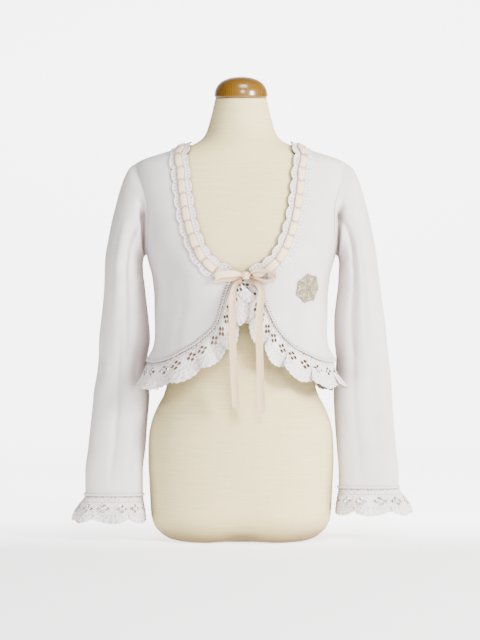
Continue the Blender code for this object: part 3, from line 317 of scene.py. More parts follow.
SLEEVE_WRINKLES = table(
    "side place height lean wide tall deep",
    ("right", 0.35, 312, 16, 0.6, 7, 1.1), ("right", 0.15, 286, -14, 0.5, 6, 0.9),
    ("right", 0.95, 262, 12, 0.5, 6, 1), ("right", 0.6, 232, -10, 0.6, 6, 0.8),
    ("right", -0.7, 326, 14, 0.7, 8, 1.1), ("right", -1.2, 286, -12, 0.6, 7, 1),
    ("left", 0.4, 318, -14, 0.6, 7, 1), ("left", 0.9, 290, 12, 0.5, 6, 1),
    ("left", 0.3, 262, 12, 0.5, 6, 0.8), ("left", -0.8, 316, 14, 0.7, 8, 1.1),
    ("left", -1.3, 278, -12, 0.6, 7, 1), ("left", 0.55, 468, 34, 0.35, 9, 1.4),
    ("right", 0.55, 470, 34, 0.35, 9, 1.4), ("left", 0.75, 448, 30, 0.3, 8, -0.9),
    ("right", 0.78, 446, 30, 0.3, 8, -0.9),
)

# The crease that runs up from each underarm, just outside the armhole's seam. Ring counts
# the sleeve's rings, and wide is counted in rings too.
ARMPIT = {"ring": 1.05, "wide": 0.55, "deep": 21.0, "low": -0.55, "top": 0.4}

# The embroidered flower: where it lies, how far its parts reach, and how many stitches or
# points each part has.
SPRAY = {"turn": 45.0, "height": 433.0, "heart": 6.0, "petal_from": 7.5, "petal_to": 24.0}
SPRAY_COUNTS = {"sides": 112, "rings": 15, "petal": 17, "ground": 620, "heart": 44, "edge": 92}
PETAL_HALF = 4.6
PETALS = 7
GOLDEN_ANGLE = 2.39996

# Lengths of the knit's edges and of a sleeve's flat cut, and the height at which the body's
# girth sets the panels' cut, in millimetres. An edge is traced by so many samples.
EDGES = {"front": 330, "back": 450, "cuff": 270}
EDGE_SAMPLES = 400
GIRTH_AT = 480.0
SLEEVE_CUT = {"round": 270, "long": 560}


class Curve:
    """A smooth curve through the values, which never overshoots between two of them."""

    def __init__(self, xs, ys):
        self.xs, self.ys = np.array(xs, float), np.array(ys, float)
        self.steps = np.diff(self.xs)
        rises = np.diff(self.ys) / self.steps
        both = rises[:-1] * rises[1:]
        total = rises[:-1] + rises[1:]
        inner = np.where(both > 0, 2 * both / np.where(both > 0, total, 1.0), 0.0)
        self.slopes = np.concatenate([rises[:1], inner, rises[-1:]])

    def __call__(self, x):
        x = np.clip(x, self.xs[0], self.xs[-1])
        i = np.clip(np.searchsorted(self.xs, x, side="right") - 1, 0, len(self.steps) - 1)
        t = (x - self.xs[i]) / self.steps[i]
        value = self.ys[i] + (self.ys[i + 1] - self.ys[i]) * t * t * (3 - 2 * t)
        value = value + t * (1 - t) ** 2 * self.slopes[i] * self.steps[i]
        return value + t * t * (t - 1) * self.slopes[i + 1] * self.steps[i]


def columns(rows):
    """One curve for each named column of a table, over its first column."""
    along = [row[0] for row in rows]
    names = rows[0]._fields[1:]
    return {name: Curve(along, [getattr(row, name) for row in rows]) for name in names}


def lengths(points):
    """How far along a line each of its points lies."""
    return np.concatenate([[0.0], np.cumsum(np.linalg.norm(np.diff(points, axis=0), axis=1))])


def sampled(points, along, at):
    """A line's points at other places along it."""
    return np.stack([np.interp(at, along, axis) for axis in points.T], -1)


def path(points):
    """A smooth path through points, from 0 to 1 by length."""
    points = np.array(points, float)
    along = lengths(points)
    curves = [Curve(along / along[-1], axis) for axis in points.T]
    return lambda t: np.stack([curve(t) for curve in curves], -1)


def bell(distance, wide):
    return np.exp(-((distance / wide) ** 2))


def fade(value, start, end):
    """0 at start, 1 at end, smooth between them."""
    t = np.clip((value - start) / (end - start), 0.0, 1.0)
    return t * t * (3 - 2 * t)


def unit(vectors):
    return vectors / np.maximum(np.linalg.norm(vectors, axis=-1, keepdims=True), 1e-12)


def dot(a, b):
    return np.sum(a * b, axis=-1)


TORSO_AT = columns(TORSO)


def bust(turn, height):
    rise = bell(height - BUST["height"], BUST["tall"]) * BUST["rise"]
    return rise * sum(bell(turn - side * BUST["turn"], BUST["wide"]) for side in (-1, 1))


def fold_depth(folds, turn, height):
    """How far the folds draw the knit in at this place."""
    turn = (turn + 90) % 360 - 90
    depth = np.zeros(np.broadcast(turn, height).shape)
    for fold in folds:
        down = height - fold.height
        across = turn - fold.turn - fold.lean * down * 0.1
        depth = depth + fold.deep * bell(across, fold.wide) * bell(down, fold.tall)
    return depth


def torso(turn, height, ease=0.0):
    """A point of the body in millimetres: turn is 0 in front, 90 at the wearer's left."""
    turn, height = np.broadcast_arrays(np.asarray(turn, float), np.asarray(height, float))
    angle = np.radians(turn)
    across, ahead = np.sin(angle), np.cos(angle)
    square = TORSO_AT["square"](height)
    corner = (np.abs(across) ** square + np.abs(ahead) ** square) ** (-1 / square)
    width = TORSO_AT["width"](height) + ease * TORSO_AT["ease_side"](height)
    chest = TORSO_AT["front"](height) + ease * TORSO_AT["ease_front"](height)
    chest = chest + bust((turn + 180) % 360 - 180, height)
    rear = TORSO_AT["back"](height) + ease * TORSO_AT["ease_back"](height)
    depth = np.where(ahead > 0, chest, rear)
    return np.stack([width * corner * across, -depth * corner * ahead, height], -1)


def on_body(turn, height, out=0.0, fine=0.0):
    """The knit's point that lies out from the body here, and the direction straight out."""
    step = 0.4
    side = torso(turn + step, height, 1.0) - torso(turn - step, height, 1.0)
    rise = torso(turn, height + step, 1.0) - torso(turn, height - step, 1.0)
    outward = unit(np.cross(side, rise))
    out = out - fold_depth(BODY_FOLDS, turn, height)
    if fine:
        # Troughs stay shallow where the knit lies close on the form.
        room = np.clip(TORSO_AT["ease_front"](height) - 1.5, 0.0, 3.0) / 3.0
        drawn = fold_depth(FINE_FOLDS, turn, height)
        out = out - fine * np.where(drawn > 0, drawn * room, drawn)
    return torso(turn, height, 1.0) + outward * np.asarray(out)[..., None], outward


def walk(turn, height, heading, distance):
    """Goes a distance in millimetres over the knit's surface, along or down it."""
    steps, off = 4, 0.5
    turn, height = np.asarray(turn, float), np.asarray(height, float)
    for _ in range(steps):
        here = torso(turn, height, 1.0)
        side = (torso(turn + off, height, 1.0) - here) / off
        rise = (torso(turn, height + off, 1.0) - here) / off
        along = unit(side)
        up = unit(rise - along * dot(rise, along)[..., None])
        wanted = along * np.asarray(heading[0])[..., None] + up * np.asarray(heading[1])[..., None]
        climb = dot(wanted, up) / dot(rise, up)
        turned = (dot(wanted, along) - climb * dot(rise, along)) / np.linalg.norm(side, axis=-1)
        turn = turn + turned * distance / steps
        height = height + climb * distance / steps
    return turn, height


def turn_at(across, height, centre=0.0):
    """The turn at which a face lies this far from its centre, which is at 0 or at 180."""
    low, high = centre, 90.0
    for _ in range(40):
        middle = (low + high) / 2
        if torso(middle, height, 1.0)[0] < across:
            low = middle
        else:
            high = middle
    return low


def course_of(spots):
    """A smooth course through spots of turn and height, from 0 to 1."""
    scale = 1.6
    curve = path([(turn * scale, height) for turn, height in spots])

    def at(t):
        found = curve(t)
        return found[..., 0] / scale, found[..., 1]

    return at


def spots_of(table, centre=0.0):
    return [(turn_at(point.across, point.height, centre), point.height) for point in table]


NECK_AT = course_of(spots_of(NECKLINE) + [(90, SHOULDER_NECK)])
BACK_NECK_AT = course_of(
    [(90, SHOULDER_NECK)] + spots_of(BACK_NECKLINE, 180.0) + [(180, BACK_NECK)]
)
CUTAWAY_AT = {side: course_of(spots_of(CUTAWAY[side]) + [(90, SIDE_HEM)]) for side in CUTAWAY}


def armhole_point(t, swing):
    """The armhole from the underarm, 0, to the shoulder tip, 1, swinging off the side."""
    height = UNDERARM + (SHOULDER_TIP - UNDERARM) * (1 - np.cos(math.pi * t)) / 2
    return 90 + swing * np.sin(math.pi * np.clip(t, 0, 1)) ** 0.9, height


def seam_turn(height):
    """Half a seam gap at the side, as a turn."""
    return np.degrees(SEAM_GAP / 2 / np.linalg.norm(torso(0, height, 1.0), axis=-1))


def outer_edge(up, swing):
    """The side seam and armhole, upwards, with up from 0 to 1."""
    place = up * (SEAM_ROWS + ARMHOLE_ROWS)
    seam = SIDE_HEM + (UNDERARM - SIDE_HEM) * place / SEAM_ROWS
    turn, height = armhole_point(np.clip((place - SEAM_ROWS) / ARMHOLE_ROWS, 0, 1), swing)
    below = place < SEAM_ROWS
    turn, height = np.where(below, 90.0, turn), np.where(below, seam, height)
    return turn + math.copysign(1, swing) * seam_turn(height), height


def coons(rows, cols, inner, outer, low, high):
    """Turn and height over a panel, from its four edges, as the solids blend them."""
    up, across = np.meshgrid(np.linspace(0, 1, rows), np.linspace(0, 1, cols), indexing="ij")
    found = []
    for axis in (0, 1):
        base, crown = (
            inner(end)[axis] * (1 - across) + outer(end)[axis] * across
            for end in (np.zeros(1), np.ones(1))
        )
        straight = inner(up)[axis] * (1 - across) + outer(up)[axis] * across
        bend = (low(across)[axis] - base) * (1 - up) ** 2
        found.append(straight + bend + (high(across)[axis] - crown) * up**2)
    return found


def shoulder_edge(sign):
    def at(across):
        height = SHOULDER_NECK + (SHOULDER_TIP - SHOULDER_NECK) * across
        return 90 + sign * seam_turn(height), height

    return at


def front_panel(side, rows, cols):
    armhole = functools.partial(outer_edge, swing=-ARMHOLE_FRONT)
    return coons(rows, cols, NECK_AT, armhole, CUTAWAY_AT[side], shoulder_edge(-1))


def back_inner(up):
    """The middle of the back, then the neckline out to the shoulder."""
    rows, neck_rows = SEAM_ROWS + ARMHOLE_ROWS, 7
    place = up * rows
    straight = rows - neck_rows
    centre = SIDE_HEM + (BACK_NECK - SIDE_HEM) * place / straight
    turn, height = BACK_NECK_AT(np.clip(1 - (place - straight) / neck_rows, 0, 1) ** 1.3)
    below = place < straight
    return np.where(below, 180.0, turn), np.where(below, centre, height)


def back_hem(across):
    return 180 - 90 * across, np.full_like(across, SIDE_HEM)


def back_panel(rows, cols):
    """The left half of the back, from its middle out."""
    armhole = functools.partial(outer_edge, swing=ARMHOLE_BACK)
    return coons(rows, cols, back_inner, armhole, back_hem, shoulder_edge(1))


def crease_depth(side, angle, height):
    """How far the long creases and the small wrinkles draw a sleeve in, in millimetres."""
    place, front = np.cos(angle), np.sin(angle) > 0
    depth = np.zeros(np.broadcast(angle, height).shape)
    for crease in CREASES:
        if crease.side != side:
            continue
        share = (crease.top - height) / (crease.top - crease.bottom)
        centre = crease.top_place + (crease.bottom_place - crease.top_place) * share
        length = fade(share, -0.05, 0.2) * (1 - fade(share, 0.75, 1.1))
        here = front == (crease.face == "front")
        depth = depth + here * crease.deep * length * bell(place - centre, crease.wide)
    depth = depth * np.abs(np.sin(angle))
    for fold in SLEEVE_WRINKLES:
        if fold.side == side:
            off = (angle / math.pi * 2 - fold.place * 2 + 2) % 4 - 2
            down = height - fold.height - fold.lean * off
            depth = depth + fold.deep * bell(off, fold.wide) * bell(down, fold.tall)
    return depth


def armhole_loop(side, angle):
    """For each ring angle: the body's edge point, out of it, away from the cloth, and t."""
    t = (math.pi - angle) / math.pi
    swing = np.where(t <= 1, -ARMHOLE_FRONT, ARMHOLE_BACK)
    t = np.where(t <= 1, t, 2 - t)
    turn, height = armhole_point(t, swing)
    point, out = on_body(SIDES[side] * turn, height)
    middle = on_body(SIDES[side] * 90.0, (UNDERARM + SHOULDER_TIP) / 2)[0]
    away = middle - point
    away = unit(away - out * dot(away, out)[..., None])
    return point, out, away, 1 - t


def sleeve_rim(side, angle, knit):
    """The sleeve's rim at the armhole, outer and inner, as the solid has it."""
    point, out, away, low = armhole_loop(side, angle)
    lap = fade(low, 0.25, 0.9)
    room = 0.5 * knit * np.sin(math.pi * lap)
    rims = []
    for up, off in (
        (knit + SEAM_GAP * lap + room, SEAM_GAP * (1 - lap) - knit * lap + room),
        ((knit + SEAM_GAP) * lap + room, SEAM_GAP * (1 - lap) + room),
    ):
        rims.append(point + out * up[..., None] + away * off[..., None])
    return rims


def sleeve_tables(side):
    """Curves over the ring number for a sleeve's centre, chord and depth."""
    sign = SIDES[side]
    centres, chords, depths = [], [], []
    for row in SLEEVE_FAN:
        low = np.array([sign * row.inner_x, 0, row.inner_z])
        top = np.array([sign * row.outer_x, 0, row.outer_z])
        centres.append((low + top) / 2)
        chords.append((top - low) / 2)
        depths.append(row.depth)
    for row in SLEEVE_RINGS + [SLEEVE_RINGS[-1]._replace(height=CUFF[side])]:
        centres.append([sign * getattr(row, side + "_x"), -row.forward, row.height])
        chords.append([sign * getattr(row, side + "_half"), 0, 0])
        depths.append(row.depth)
    number = np.arange(len(depths))
    curves = [Curve(number, axis) for axis in list(np.array(centres).T) + list(np.array(chords).T)]
    return curves[:3], curves[3:], Curve(number, depths), number[-1]


def sleeve_surface(side, number, angle, knit):
    """The sleeve's outer skin at a ring number and an angle round it."""
    centres, chords, depths, _ = sleeve_tables(side)
    number, angle = np.broadcast_arrays(number, angle)

    def plain(at):
        centre = np.stack([curve(at) for curve in centres], -1)
        chord = np.stack([curve(at) for curve in chords], -1)
        reach = chord * np.cos(angle)[..., None]
        reach[..., 1] -= depths(at) * np.sin(angle)
        return centre, reach

    centre, reach = plain(number)
    start = sum(plain(np.zeros_like(number, dtype=float)))
    rim = sleeve_rim(side, angle, knit)[0]
    keep = 1 - fade(number, 0, 5)
    point = centre + reach + (rim - start) * keep[..., None]
    depth = crease_depth(side, angle, point[..., 2]) * fade(number, 0.0, 1.0)
    low = 1 - fade(np.cos(angle), ARMPIT["low"], ARMPIT["top"])
    pit = ARMPIT["deep"] * bell(number - ARMPIT["ring"], ARMPIT["wide"])
    depth = depth + pit * low * np.abs(np.sin(angle)) ** 0.35 * fade(number, 0.0, 0.4)
    return point - unit(reach) * depth[..., None]


def grid_quads(rows, cols, closed=False):
    """Faces of a grid whose points run row by row."""
    j, i = np.meshgrid(np.arange(rows - 1), np.arange(cols if closed else cols - 1), indexing="ij")
    a, b = (j * cols + i).ravel(), (j * cols + (i + 1) % cols).ravel()
    return np.stack([a, b, b + cols, a + cols], 1)


def signed_volume(points, quads):
    a, b, c, d = (points[quads[:, i]] for i in range(4))
    return np.sum(dot(a, np.cross(b, c)) + dot(a, np.cross(c, d)))


def linked(name, data):
    made = bpy.data.objects.new(name, data)
    bpy.context.scene.collection.objects.link(made)
    return made


def new_mesh(name, points, edges, faces):
    """A mesh from points in millimetres."""
    mesh = bpy.data.meshes.new(name)
    mesh.from_pydata((np.asarray(points) * MM).tolist(), edges, faces)
    return mesh


def new_piece(name, mesh, finish_name):
    mesh.name = name
    made = linked(name, mesh)
    mesh.materials.clear()
    mesh.materials.append(finish(finish_name))
    mesh.shade_smooth()
    return made


def add_layer(mesh, label, values, kind="FLOAT", key="value"):
    layer = mesh.attributes.new(label, kind, "POINT")
    layer.data.foreach_set(key, np.asarray(values, np.float32).ravel())


def welded(points, quads):
    """Joins points that lie in one place, as where the back's two halves meet."""
    _, first, back = np.unique(np.round(points, 3), axis=0, return_index=True, return_inverse=True)
    quads = back.ravel()[quads]
    whole = np.array([len(set(quad)) == 4 for quad in quads.tolist()])
    return first, quads[whole]


def add_shell(name, outer, inner, quads, finish_name, flat, painted_shade=None, inner_painted_shade=None, weld=False):
    """A closed wall: quads over the outer points, turned over on the inner, and a rim.

    Flat holds the cut's two coordinates, which become a UV map in metres. The two shade
    arrays give each point's painted shade, from 0 to 1, most where it lies deep between the
    threads: the first for the outer points, the second for the inner ones where it differs.
    """
    outer, inner = outer.reshape(-1, 3), inner.reshape(-1, 3)
    first = np.arange(len(outer))
    if weld:
        first, quads = welded(outer, quads)
    used, back = np.unique(quads, return_inverse=True)
    quads, used = back.reshape(quads.shape), first[used]
    count = len(used)
    sides = np.concatenate([np.stack([quads[:, i - 1], quads[:, i]], 1) for i in range(4)])
    forward, reverse = sides[:, 0] * count + sides[:, 1], sides[:, 1] * count + sides[:, 0]
    rim = sides[~np.isin(forward, reverse)]
    rim = np.stack([rim[:, 1], rim[:, 0], count + rim[:, 0], count + rim[:, 1]], 1)
    faces = np.concatenate([quads, quads[:, ::-1] + count, rim])
    points = np.concatenate([outer[used], inner[used]])
    if signed_volume(points, faces) < 0:
        faces = faces[:, ::-1]
    mesh = new_mesh(name, points, [], faces.tolist())
    corners = np.empty(len(mesh.loops), np.int32)
    mesh.loops.foreach_get("vertex_index", corners)
    flat = np.tile(np.stack(flat, -1).reshape(-1, 2)[used], (2, 1))[corners] * MM
    mesh.uv_layers.new(name="cut").uv.foreach_set("vector", flat.astype(np.float32).ravel())
    if painted_shade is not None:
        inner_painted_shade = painted_shade if inner_painted_shade is None else inner_painted_shade
        add_layer(mesh, "painted_shade", np.concatenate([np.ravel(painted_shade)[used], np.ravel(inner_painted_shade)[used]]))
    made = new_piece(name, mesh, finish_name)
    mesh.set_sharp_from_angle(angle=math.radians(SHARP_ANGLE))
    return made


def normals_of(points):
    """Directions straight out of a grid of points, found from its neighbours."""
    return unit(np.cross(np.gradient(points, axis=1), np.gradient(points, axis=0)))


# Materials.

WHITE = (1.0, 1.0, 1.0)


def feed(tree, node, values):
    """Fills a node's inputs. A value may be another node's output, which is then linked."""
    for key, value in values.items():
        if isinstance(value, bpy.types.NodeSocket):
            tree.links.new(value, node.inputs[key])
        else:
            node.inputs[key].default_value = value


def add_node(tree, kind, values=None, **settings):
    node = tree.nodes.new(kind)
    for key, value in settings.items():
        setattr(node, key, value)
    feed(tree, node, values or {})
    return node


def maths(tree, operation, *terms):
    """What an operation makes of its terms."""
    node = add_node(tree, "ShaderNodeMath", dict(enumerate(terms)), operation=operation)
    return node.outputs["Value"]


def placed(tree, coordinate, scale=None):
    """Where a texture lies: Object is the piece's own space, UV its flat cut."""
    place = add_node(tree, "ShaderNodeTexCoord").outputs[coordinate]
    if scale is None:
        return place
    return add_node(tree, "ShaderNodeMapping", {"Vector": place, "Scale": scale}).outputs["Vector"]


def noise(tree, vector, scale, detail=2.0, rough=0.5):
    values = {"Vector": vector, "Scale": scale, "Detail": detail, "Roughness": rough}
    return add_node(tree, "ShaderNodeTexNoise", values).outputs["Fac"]


def wave(tree, vector, scale, distortion, detail=2.0, detail_scale=1.0):
    values = {"Vector": vector, "Scale": scale, "Distortion": distortion}
    values.update({"Detail": detail, "Detail Scale": detail_scale})
    return add_node(tree, "ShaderNodeTexWave", values).outputs["Fac"]


def ramp(tree, factor, *stops):
    """Colours along a factor, from stops of place and colour."""
    node = add_node(tree, "ShaderNodeValToRGB", {"Fac": factor})
    band = node.color_ramp
    while len(band.elements) < len(stops):
        band.elements.new(0.5)
    for element, (at, colour) in zip(band.elements, stops):
        element.position = at
        element.color = (*colour, 1.0)
    return node.outputs["Color"]


def shaded(colour, factor):
    return tuple(channel * factor for channel in colour)


def shades(tree, factor, colour, *stops):
    """One colour, lighter or darker along a factor."""
    return ramp(tree, factor, *((at, shaded(colour, much)) for at, much in stops))


def mottled(tree, scale, low, high, detail=2.0, edge=0.3):
    """A cloudy mix of two colours."""
    cloud = noise(tree, placed(tree, "Object"), scale, detail)
    return ramp(tree, cloud, (edge, low), (1 - edge, high))


def multiplied(tree, one, other):
    """One colour output times another."""
    values = {0: 1.0, 6: one, 7: other}
    both = add_node(tree, "ShaderNodeMix", values, data_type="RGBA", blend_type="MULTIPLY")
    return both.outputs[2]


def with_painted_nook_shade(tree, colour, reach, dark):
    """A colour with painted shade in narrow gaps, where cloth lies close over its neighbour."""
    shade = add_node(tree, "ShaderNodeAmbientOcclusion", {"Distance": reach}, samples=8)
    return multiplied(tree, colour, ramp(tree, shade.outputs["AO"], (0.18, dark), (0.86, WHITE)))


def with_painted_dip_shade(tree, colour, *stops):
    """A colour with painted shade, as much as each point's stored shade value asks for."""
    painted_shade = add_node(tree, "ShaderNodeAttribute", attribute_name="painted_shade").outputs["Fac"]
    return multiplied(tree, colour, ramp(tree, painted_shade, (0.0, WHITE), *stops))


def bump(tree, height, strength, distance, before=None):
    values = {"Height": height, "Strength": strength, "Distance": distance}
    if before is not None:
        values["Normal"] = before
    return add_node(tree, "ShaderNodeBump", values).outputs["Normal"]


# Each finish says what its shader's inputs get.


def fine_jersey(tree, colours):
    """Soft mottling, wales that follow the cut, and painted shade in narrow gaps."""
    tint = mottled(tree, 34.0, shaded(colours.knit, 0.94), shaded(colours.knit, 1.02), 4.0)
    wales = bump(tree, wave(tree, placed(tree, "UV"), 260.0, 0.6, 1.0), 0.12, 0.0003)
    grain = noise(tree, placed(tree, "Object"), 900.0)
    return {
        "Base Color": with_painted_nook_shade(tree, tint, 0.05, (0.64, 0.55, 0.52)),
        "Normal": bump(tree, grain, 0.10, 0.0003, wales),
        "Roughness": 0.85,
        "Sheen Weight": 0.10,
        "Sheen Roughness": 0.5,
        "Specular IOR Level": 0.2,
    }


def cotton_crochet(tree, colours):
    """Rows of small stitches, with painted shade where the lace dips between its threads and in
    narrow gaps.
    """
    values = {"Vector": placed(tree, "UV"), "Scale": 430.0, "Randomness": 0.65}
    cells = add_node(tree, "ShaderNodeTexVoronoi", values, feature="F1").outputs["Distance"]
    tint = shades(tree, cells, colours.lace, (0.0, 1.0), (0.5, 0.95), (0.8, 0.72))
    tint = with_painted_dip_shade(tree, tint, (0.55, (0.78, 0.76, 0.75)), (1.0, (0.26, 0.22, 0.20)))
    return {
        "Base Color": with_painted_nook_shade(tree, tint, 0.06, (0.25, 0.20, 0.185)),
        "Normal": bump(tree, maths(tree, "MULTIPLY", cells, -1.0), 0.8, 0.001),
        "Roughness": 0.9,
        "Sheen Weight": 0.15,
        "Specular IOR Level": 0.15,
    }


def ribbon_satin(tree, colours):
    """A soft shine, fine ribs across it, and painted shade in its dips and in narrow gaps."""
    tint = mottled(tree, 60.0, shaded(colours.satin, 0.95), colours.satin)
    tint = with_painted_dip_shade(tree, tint, (1.0, (0.42, 0.29, 0.21)))
    return {
        "Base Color": with_painted_nook_shade(tree, tint, 0.01, (0.55, 0.38, 0.30)),
        "Normal": bump(tree, wave(tree, placed(tree, "UV"), 420.0, 0.3), 0.10, 0.0002),
        "Roughness": 0.46,
        "Sheen Weight": 0.15,
        "Specular IOR Level": 0.40,
    }


def slubbed_linen(tree, colours):
    """Uneven level slubs over a fine plain weave, with painted shade in narrow gaps, such as under
    the lace.
    """
    slubs = noise(tree, placed(tree, "Object", (9, 9, 260)), 2.2, 5.0, 0.6)
    warp = noise(tree, placed(tree, "Object", (300, 300, 9)), 1.6, 3.0, 0.6)
    weave = maths(tree, "MULTIPLY_ADD", warp, 0.35, slubs)
    tint = shades(tree, weave, colours.linen, (0.42, 0.86), (0.62, 0.97), (0.86, 1.05))
    return {
        "Base Color": with_painted_nook_shade(tree, tint, 0.07, (0.26, 0.22, 0.20)),
        "Normal": bump(tree, weave, 0.22, 0.0006),
        "Roughness": 0.92,
        "Specular IOR Level": 0.15,
    }


def varnished_wood(tree, colours):
    """Turned wood, its grain running up and over the cap."""
    rings = wave(tree, placed(tree, "Object", (60, 60, 8)), 1.6, 5.0, 4.0, 1.4)
    tint = shades(tree, rings, colours.wood, (0.0, 0.72), (0.5, 1.0), (1.0, 1.12))
    return {"Base Color": tint, "Roughness": 0.28, "Coat Weight": 0.5, "Coat Roughness": 0.12}


def gold_thread(tree, colours):
    """Metallic thread, dull gold with paler strands."""
    dull, pale = shaded(colours.gold, 0.62), shaded(colours.gold, 1.25)
    tint = mottled(tree, 420.0, dull, pale, edge=0.35)
    return {"Base Color": tint, "Metallic": 0.35, "Roughness": 0.45}


def gold_ground(tree, colours):
    """The embroidery's ground: a dull beige net that shows between the gold threads."""
    tint = mottled(tree, 520.0, shaded(colours.gold, 0.80), shaded(colours.knit, 0.86))
    return {"Base Color": tint, "Roughness": 0.85}


def seam_thread(tree, colours):
    """The jersey's own thread, a little darker where it is drawn into a seam."""
    tint = mottled(tree, 700.0, shaded(colours.knit, 0.84), shaded(colours.knit, 0.95))
    return {"Base Color": tint, "Roughness": 0.9}


def stage_paper(tree, colours):
    """It glows only behind the piece, so that little of its light comes from the sides."""
    split = add_node(tree, "ShaderNodeSeparateXYZ", {"Vector": placed(tree, "Object")}).outputs
    beside = (maths(tree, "ABSOLUTE", split["X"]), 1.0, 1.8, 1.0, 0.0)
    above = (split["Z"], 1.7, 2.7, 1.0, 0.0)
    behind = (split["Y"], -0.15, 0.3, 1.6, bpy.context.scene.shrug_sizes.paper_glow)
    glow = 1.0
    for source, *span in (beside, above, behind):
        values = dict(zip(("From Min", "From Max", "To Min", "To Max"), span), Value=source)
        part = add_node(tree, "ShaderNodeMapRange", values).outputs["Result"]
        glow = maths(tree, "MULTIPLY", glow, part)
    paper = (*colours.paper, 1.0)
    return {
        "Base Color": paper,
        "Emission Color": paper,
        "Emission Strength": glow,
        "Roughness": 0.95,
        "Specular IOR Level": 0.0,
    }


FINISHES = {
    made.__name__: made
    for made in (
        fine_jersey,
        cotton_crochet,
        ribbon_satin,
        slubbed_linen,
        varnished_wood,
        gold_thread,
        gold_ground,
        seam_thread,
        stage_paper,
    )
}


def finish(name):
    """The named finish, made the first time that it is asked for."""
    made = bpy.data.materials.get(name)
    if made is None:
        made = bpy.data.materials.new(name)
        made.use_nodes = True
        tree = made.node_tree
        values = FINISHES[name](tree, bpy.context.scene.shrug_colours)
        feed(tree, tree.nodes["Principled BSDF"], values)
    return made


# Repeats, by Geometry Nodes.


def new_tree(name, values):
    """A tree from a mesh to a mesh, with an input for each value and one for the material."""
    tree = bpy.data.node_groups.new(name, "GeometryNodeTree")

    def socket(label, kind, side="INPUT"):
        kind = "NodeSocket" + kind
        return tree.interface.new_socket(name=label, in_out=side, socket_type=kind)

    socket("Geometry", "Geometry")
    for label, value in values.items():
        socket(label, "Int" if isinstance(value, int) else "Float").default_value = value
    socket("Material", "Material")
    socket("Geometry", "Geometry", "OUTPUT")
    return tree, tree.nodes.new("NodeGroupInput").outputs


def ended(tree, start, made):
    """Ends a tree with what it made, as one mesh in the material that it is given."""
    whole = add_node(tree, "GeometryNodeRealizeInstances", {"Geometry": made}).outputs["Geometry"]
    values = {"Geometry": whole, "Material": start["Material"]}
    dressed = add_node(tree, "GeometryNodeSetMaterial", values).outputs["Geometry"]
    add_node(tree, "NodeGroupOutput", {"Geometry": dressed})
    return tree


def named_vector(tree, name):
    kind = "GeometryNodeInputNamedAttribute"
    return add_node(tree, kind, {"Name": name}, data_type="FLOAT_VECTOR").outputs["Attribute"]


def stitch_tree(name):
    """A rounded stitch, bead or picot on every point, turned by the point's directions."""
    sizes = {"Length": 0.004, "Width": 0.001, "Height": 0.001, "Unevenness": 0.1, "Seed": 7}
    tree, start = new_tree(name, sizes)
    values = {"X": start["Length"], "Y": start["Width"], "Z": start["Height"]}
    size = add_node(tree, "ShaderNodeCombineXYZ", values).outputs["Vector"]
    values = {"Segments": 8, "Rings": 5, "Radius": 0.5}
    ball = add_node(tree, "GeometryNodeMeshUVSphere", values).outputs["Mesh"]
    shaped = add_node(tree, "GeometryNodeTransform", {"Geometry": ball, "Scale": size})
    align = "FunctionNodeAlignRotationToVector"
    upright = add_node(tree, align, {"Vector": named_vector(tree, "outward")}, axis="Z")
    values = {"Rotation": upright.outputs["Rotation"], "Vector": named_vector(tree, "along")}
    turned = add_node(tree, align, values, axis="X", pivot_axis="Z")
    seed = {"Seed": start["Seed"]}
    uneven = add_node(tree, "FunctionNodeRandomValue", seed, data_type="FLOAT")
    limits = [socket for socket in uneven.inputs if socket.type == "VALUE"]
    for socket, operation in zip(limits, ("SUBTRACT", "ADD")):
        tree.links.new(maths(tree, operation, 1.0, start["Unevenness"]), socket)
    values = {
        "Points": start["Geometry"],
        "Instance": shaped.outputs["Geometry"],
        "Rotation": turned.outputs["Rotation"],
        "Scale": next(socket for socket in uneven.outputs if socket.type == "VALUE"),
    }
    spread = add_node(tree, "GeometryNodeInstanceOnPoints", values)
    return ended(tree, start, spread.outputs["Instances"])


def cord_tree(name):
    """A round thread along every edge of the mesh that is given."""
    tree, start = new_tree(name, {"Thickness": 0.001, "Sides": 8})
    line = add_node(tree, "GeometryNodeMeshToCurve", {"Mesh": start["Geometry"]})
    half = maths(tree, "MULTIPLY", start["Thickness"], 0.5)
    values = {"Resolution": start["Sides"], "Radius": half}
    profile = add_node(tree, "GeometryNodeCurvePrimitiveCircle", values)
    values = {"Curve": line.outputs["Curve"], "Profile Curve": profile.outputs["Curve"]}
    swept = add_node(tree, "GeometryNodeCurveToMesh", {**values, "Fill Caps": True})
    return ended(tree, start, swept.outputs["Mesh"])


TREES = {"Stitches on points": stitch_tree, "Thread along edges": cord_tree}


def grown(name, seed, tree_name, sizes, finish_name):
    """A plain mesh piece from a seed mesh and a tree, with the seed taken away."""
    tree = bpy.data.node_groups.get(tree_name) or TREES[tree_name](tree_name)
    holder = linked(name + "_seed", seed)
    modifier = holder.modifiers.new(tree_name, "NODES")
    modifier.node_group = tree
    values = dict(sizes, Material=finish(finish_name))
    for item in tree.interface.items_tree:
        if item.in_out == "INPUT" and item.name in values:
            modifier[item.identifier] = values[item.name]
    bpy.context.view_layer.update()
    graph = bpy.context.evaluated_depsgraph_get()
    mesh = bpy.data.meshes.new_from_object(holder.evaluated_get(graph))
    holder.modifiers.remove(modifier)
    bpy.data.objects.remove(holder, do_unlink=True)
    if not len(mesh.polygons):
        raise RuntimeError(name + " came out empty")
    return new_piece(name, mesh, finish_name)


def stitched(name, points, along, outward, size, finish_name, seed=7):
    """Stitches of one size at points in millimetres, with their directions."""
    mesh = new_mesh(name + "_points", points, [], [])
    add_layer(mesh, "along", along, "FLOAT_VECTOR", "vector")
    add_layer(mesh, "outward", outward, "FLOAT_VECTOR", "vector")
    length, width, height, uneven = size
    values = {"Length": length * MM, "Width": width * MM, "Height": height * MM}
    values.update({"Unevenness": uneven, "Seed": seed})
    return grown(name, mesh, "Stitches on points", values, finish_name)


